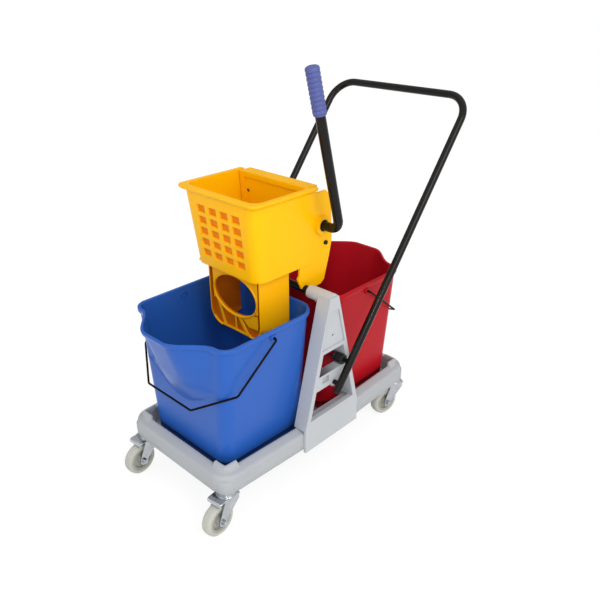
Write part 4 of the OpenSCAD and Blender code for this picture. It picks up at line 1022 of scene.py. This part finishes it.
def chute_mesh():
    """Chute with curved side walls, an oval opening in a collar, and ribs under it."""
    front, rear, low, half = CHUTE_FRONT, CHUTE_REAR, CHUTE_LOW, CHUTE_HALF
    top, wall = 432.0, 3.2
    oval_a, oval_b, oval_z = 72.5, 48.5, 366.0
    # The front face is this wide, and below this height it is a band round the opening.
    face_half, face_low, band = 77.7, 336.0, 7.5
    parts = []
    # Section of a side wall from front to rear: place and depth from the outside.
    edge = (
        (front + 0.6, 0), (front, 0.7), (front, wall - 0.7), (front + 0.6, wall),
        (rear, wall), (rear, 0),
    )
    # Heights down the straight part of a wall, and then angles round its foot.
    rows = [(z, 0.0) for z in (top, 400, 370, 340)]
    rows += [(None, -math.pi / 2 * k / 12) for k in range(13)]
    last = 6 * (len(rows) - 1)
    for side in (-1, 1):
        points = []
        for height, a in rows:
            for x, o in edge:
                bend = lerp(CHUTE_BEND, CHUTE_REAR_BEND, (x - front) / (rear - front))
                y = half - bend + (bend - o) * math.cos(a)
                z = height or low + bend + (bend - o) * math.sin(a)
                points.append((x * MM, side * y * MM, z * MM))
        faces = ring_faces(len(rows), 6) + [tuple(range(6)), tuple(range(last, last + 6))]
        parts.append((points, faces))

    def reach(y, z, dy, dz, outside):
        """Distance from a point to the first place along a direction that lies outside."""
        far = 0.0
        while far < 120 and not outside(y + far * dy, z + far * dz):
            far += 0.25
        return far

    def past_wall(y, z):
        over = max(abs(y) - (half - CHUTE_BEND), 0.0)
        under = max(low + CHUTE_BEND - z, 0.0)
        past_foot = math.hypot(over, under) > CHUTE_BEND - wall + 0.1
        return z > top - 0.5 or z < low + wall or past_foot

    def past_face(y, z):
        return z > top - 0.5 or abs(y) > face_half

    n = 120
    collar, floor = [], []
    for k in range(n):
        a = 2 * math.pi * k / n
        y, z = oval_a * math.cos(a), oval_z + oval_b * math.sin(a)
        dy, dz = math.cos(a) / oval_a, math.sin(a) / oval_b
        size = math.hypot(dy, dz)
        dy, dz = dy / size, dz / size
        wide = reach(y, z, dy, dz, past_face)
        if z + wide * dz < face_low and dz < 0:
            wide = band
        far = reach(y, z, dy, dz, past_wall)
        # Sections of the collar and of the floor behind it: distance from the oval, and place.
        lip = (
            (wide, -122), (wide, -129.2), (wide - 0.5, -129.8), (4.6, -129.8), (4.0, -131.2),
            (3.2, -131.8), (1.2, -131.8), (0.4, -131.2), (0, -130.2), (0, -122),
        )
        sheet = ((2.0, -123.5), (far, -123.5), (far, -121.0), (2.0, -121.0))
        for points, section in ((collar, lip), (floor, sheet)):
            points += [(x * MM, (y + d * dy) * MM, (z + d * dz) * MM) for d, x in section]
    parts.append((collar, ring_faces(n, len(lip), closed=True)))
    parts.append((floor, ring_faces(n, len(sheet), closed=True)))
    # Ribs under the opening, screw blocks under the basket, and the lower edge.
    for outline in (
        ((57, 331), (66, 337), (46, 276), (36, 276)),
        ((1, 314), (5, 314), (3, 276), (-1, 276)),
        ((-6, 314), (-17, 314), (-44, 276), (-32, 276)),
        ((-24, 313), (-60, 330), (-74, 336), (-76, 312), (-74, 300), (-44, 298)),
    ):
        parts.append(prism(outline, -129.6, -122.5))
    for side in (-1, 1):
        for x in (-119.0, -46.5):
            outline = [(side * y, z) for y, z in ((72, 404), (85, 404), (85, 432), (72, 432))]
            parts.append(prism(outline, x - 7, x + 7))
    parts.append(prism([(-50, 272.4), (50, 272.4), (50, 277.5), (-50, 277.5)], -130.5, -121.5))
    return joined(*parts)


class TROLLEY_OT_chute(bpy.types.Operator):
    """Chute under the basket, with the collar of its oval opening"""

    bl_idname = "trolley.chute"
    bl_label = "Chute"

    def execute(self, context):
        points, faces = chute_mesh()
        yellow = finishes(context)["yellow_chute"]
        solid = ("wringer_chute",)
        piece = put("chute_moulding", points, faces, "wringer", yellow, solid, 35.0)
        shape = bmesh.new()
        shape.from_mesh(piece.data)
        bmesh.ops.recalc_face_normals(shape, faces=shape.faces)
        shape.to_mesh(piece.data)
        shape.free()
        return {"FINISHED"}


class TROLLEY_OT_border(bpy.types.Operator):
    """Raised border on the face of the press plate"""

    bl_idname = "trolley.border"
    bl_label = "Plate border"

    def execute(self, context):
        outer = ((-100.1, 441), (100.1, 441), (111.5, 617.5), (-111.5, 617.5))
        inner = ((-85, 452), (85, 452), (95, 604), (-95, 604))
        # Share of the way from the outer to the inner edge, and place toward the front in mm.
        section = (
            (0, 0.2), (0, -1.8), (0.05, -2.4), (0.1, -2.6),
            (0.9, -2.6), (0.95, -2.4), (1, -1.8), (1, 0.2),
        )
        points = [
            (x * MM, lerp(a[0], b[0], share) * MM, lerp(a[1], b[1], share) * MM)
            for share, x in section
            for a, b in zip(outer, inner)
        ]
        faces = [f[::-1] for f in ring_faces(len(section), 4, closed=True)]
        yellow = finishes(context)["yellow_moulding"]
        put("plate_border", points, faces, "press", yellow, (), 30.0)
        return {"FINISHED"}


def crown_plate():
    """Pressed plate over a castor wheel, about the castor's axis, in mm."""
    section = (
        (-21, -16), (-21, -11.6), (-18, -10.4), (33, -10.4), (37.4, -11.2), (39.0, -13.2),
        (39.4, -21.5),
    )
    half, bevel, thick = 21.6, 1.0, 1.8
    across = (-half, bevel - half, half - bevel, half)
    points = []
    for x, z in section:
        end = 1 if x > 38 else -1 if x < -20 else 0
        inside = (x - end * thick, z if end else z - thick)
        for (px, pz), row in (((x, z), across), (inside, across[::-1])):
            points += [(px, y, pz - bevel if abs(y) == half else pz) for y in row]
    faces = [f[::-1] for f in ring_faces(len(section), 8)]
    last = 8 * (len(section) - 1)
    for i in range(3):
        cap = (i, i + 1, 6 - i, 7 - i)
        faces += [cap, tuple(last + q for q in cap[::-1])]
    return points, faces


class TROLLEY_OT_castors(bpy.types.Operator):
    """Pressed crowns of the castor forks over the wheels, and the rings of their bearings"""

    bl_idname = "trolley.castors"
    bl_label = "Castor crowns"

    def execute(self, context):
        zinc = finishes(context)["bright_zinc"]
        plate, plate_faces = crown_plate()
        rings = (
            (9.0, -4.2), (22.4, -4.2), (23.4, -4.8), (23.6, -6.0), (22.6, -6.8), (22.0, -7.6),
            (22.8, -8.6), (24.2, -9.6), (24.6, -11.0), (24.0, -12.2), (9.0, -12.2),
        )
        for corner, (sx, sy) in CORNERS.items():
            yaw = math.radians(184 if sx < 0 else 168)
            ca, sa = math.cos(yaw), math.sin(yaw)
            turn = np.array(((ca, -sa, 0), (sa, ca, 0), (0, 0, 1)))
            centre = np.array((sx * CASTOR_X, sy * CASTOR_Y, 0))
            turned = [(turn @ np.array(p)) * MM + centre for p in plate]
            bearing = lathe(rings, centre, (0, 0, 1), (1, 0, 0), 48)
            points, faces = joined((turned, plate_faces), bearing)
            put("fork_crown_" + corner, points, faces, "swivel_" + corner, zinc)
        return {"FINISHED"}


class TROLLEY_OT_shoulders(bpy.types.Operator):
    """Black shoulders of the upper handle studs, over the bosses of the side frames"""

    bl_idname = "trolley.shoulders"
    bl_label = "Stud shoulders"

    def execute(self, context):
        lean, low, up = math.radians(37.8), (0.003, 0.152), 0.058
        place = (low[0] + up * math.sin(lean), 0, low[1] + up * math.cos(lean))
        profile = (
            (5.0, 195.4), (11.2, 195.4), (12.1, 194.9), (12.4, 194.0), (12.4, 171.4), (12.1, 169.6),
            (11.2, 168.7), (5.0, 168.7),
        )
        black = finishes(context)["black_moulding"]
        parts = [lathe(profile, place, (0, side, 0), (0, 0, 1), 48) for side in (-1, 1)]
        points, faces = joined(*parts)
        put("stud_shoulders", points, faces, "frame", black)
        return {"FINISHED"}


class TROLLEY_PT_panel(bpy.types.Panel):
    """Buttons that build the trolley piece by piece"""

    bl_idname = "TROLLEY_PT_panel"
    bl_label = "Trolley"
    bl_space_type = "VIEW_3D"
    bl_region_type = "UI"
    bl_category = "Trolley"

    def draw(self, context):
        for operator in OPERATORS:
            self.layout.operator(operator.bl_idname)
        for settings in SETTINGS:
            group = getattr(context.scene, settings)
            column = self.layout.column()
            for key in group.__annotations__:
                column.prop(group, key)


SETTINGS = {
    "trolley_bucket": BucketSettings,
    "trolley_finish": FinishSettings,
    "trolley_stage": StageSettings,
}
OPERATORS = (
    TROLLEY_OT_stage,
    TROLLEY_OT_solids,
    TROLLEY_OT_base,
    TROLLEY_OT_buckets,
    TROLLEY_OT_pockets,
    TROLLEY_OT_chute,
    TROLLEY_OT_border,
    TROLLEY_OT_shoulders,
    TROLLEY_OT_castors,
    TROLLEY_OT_grip,
)


def register():
    for cls in (*SETTINGS.values(), *OPERATORS, TROLLEY_PT_panel):
        bpy.utils.register_class(cls)
    for key, cls in SETTINGS.items():
        setattr(bpy.types.Scene, key, bpy.props.PointerProperty(type=cls))


def unregister():
    for key in SETTINGS:
        delattr(bpy.types.Scene, key)
    for cls in (TROLLEY_PT_panel, *reversed(OPERATORS), *reversed(list(SETTINGS.values()))):
        bpy.utils.unregister_class(cls)


def main():
    register()
    for operator in OPERATORS:
        group, name = operator.bl_idname.split(".")
        getattr(getattr(bpy.ops, group), name)()


if __name__ == "__main__":
    main()
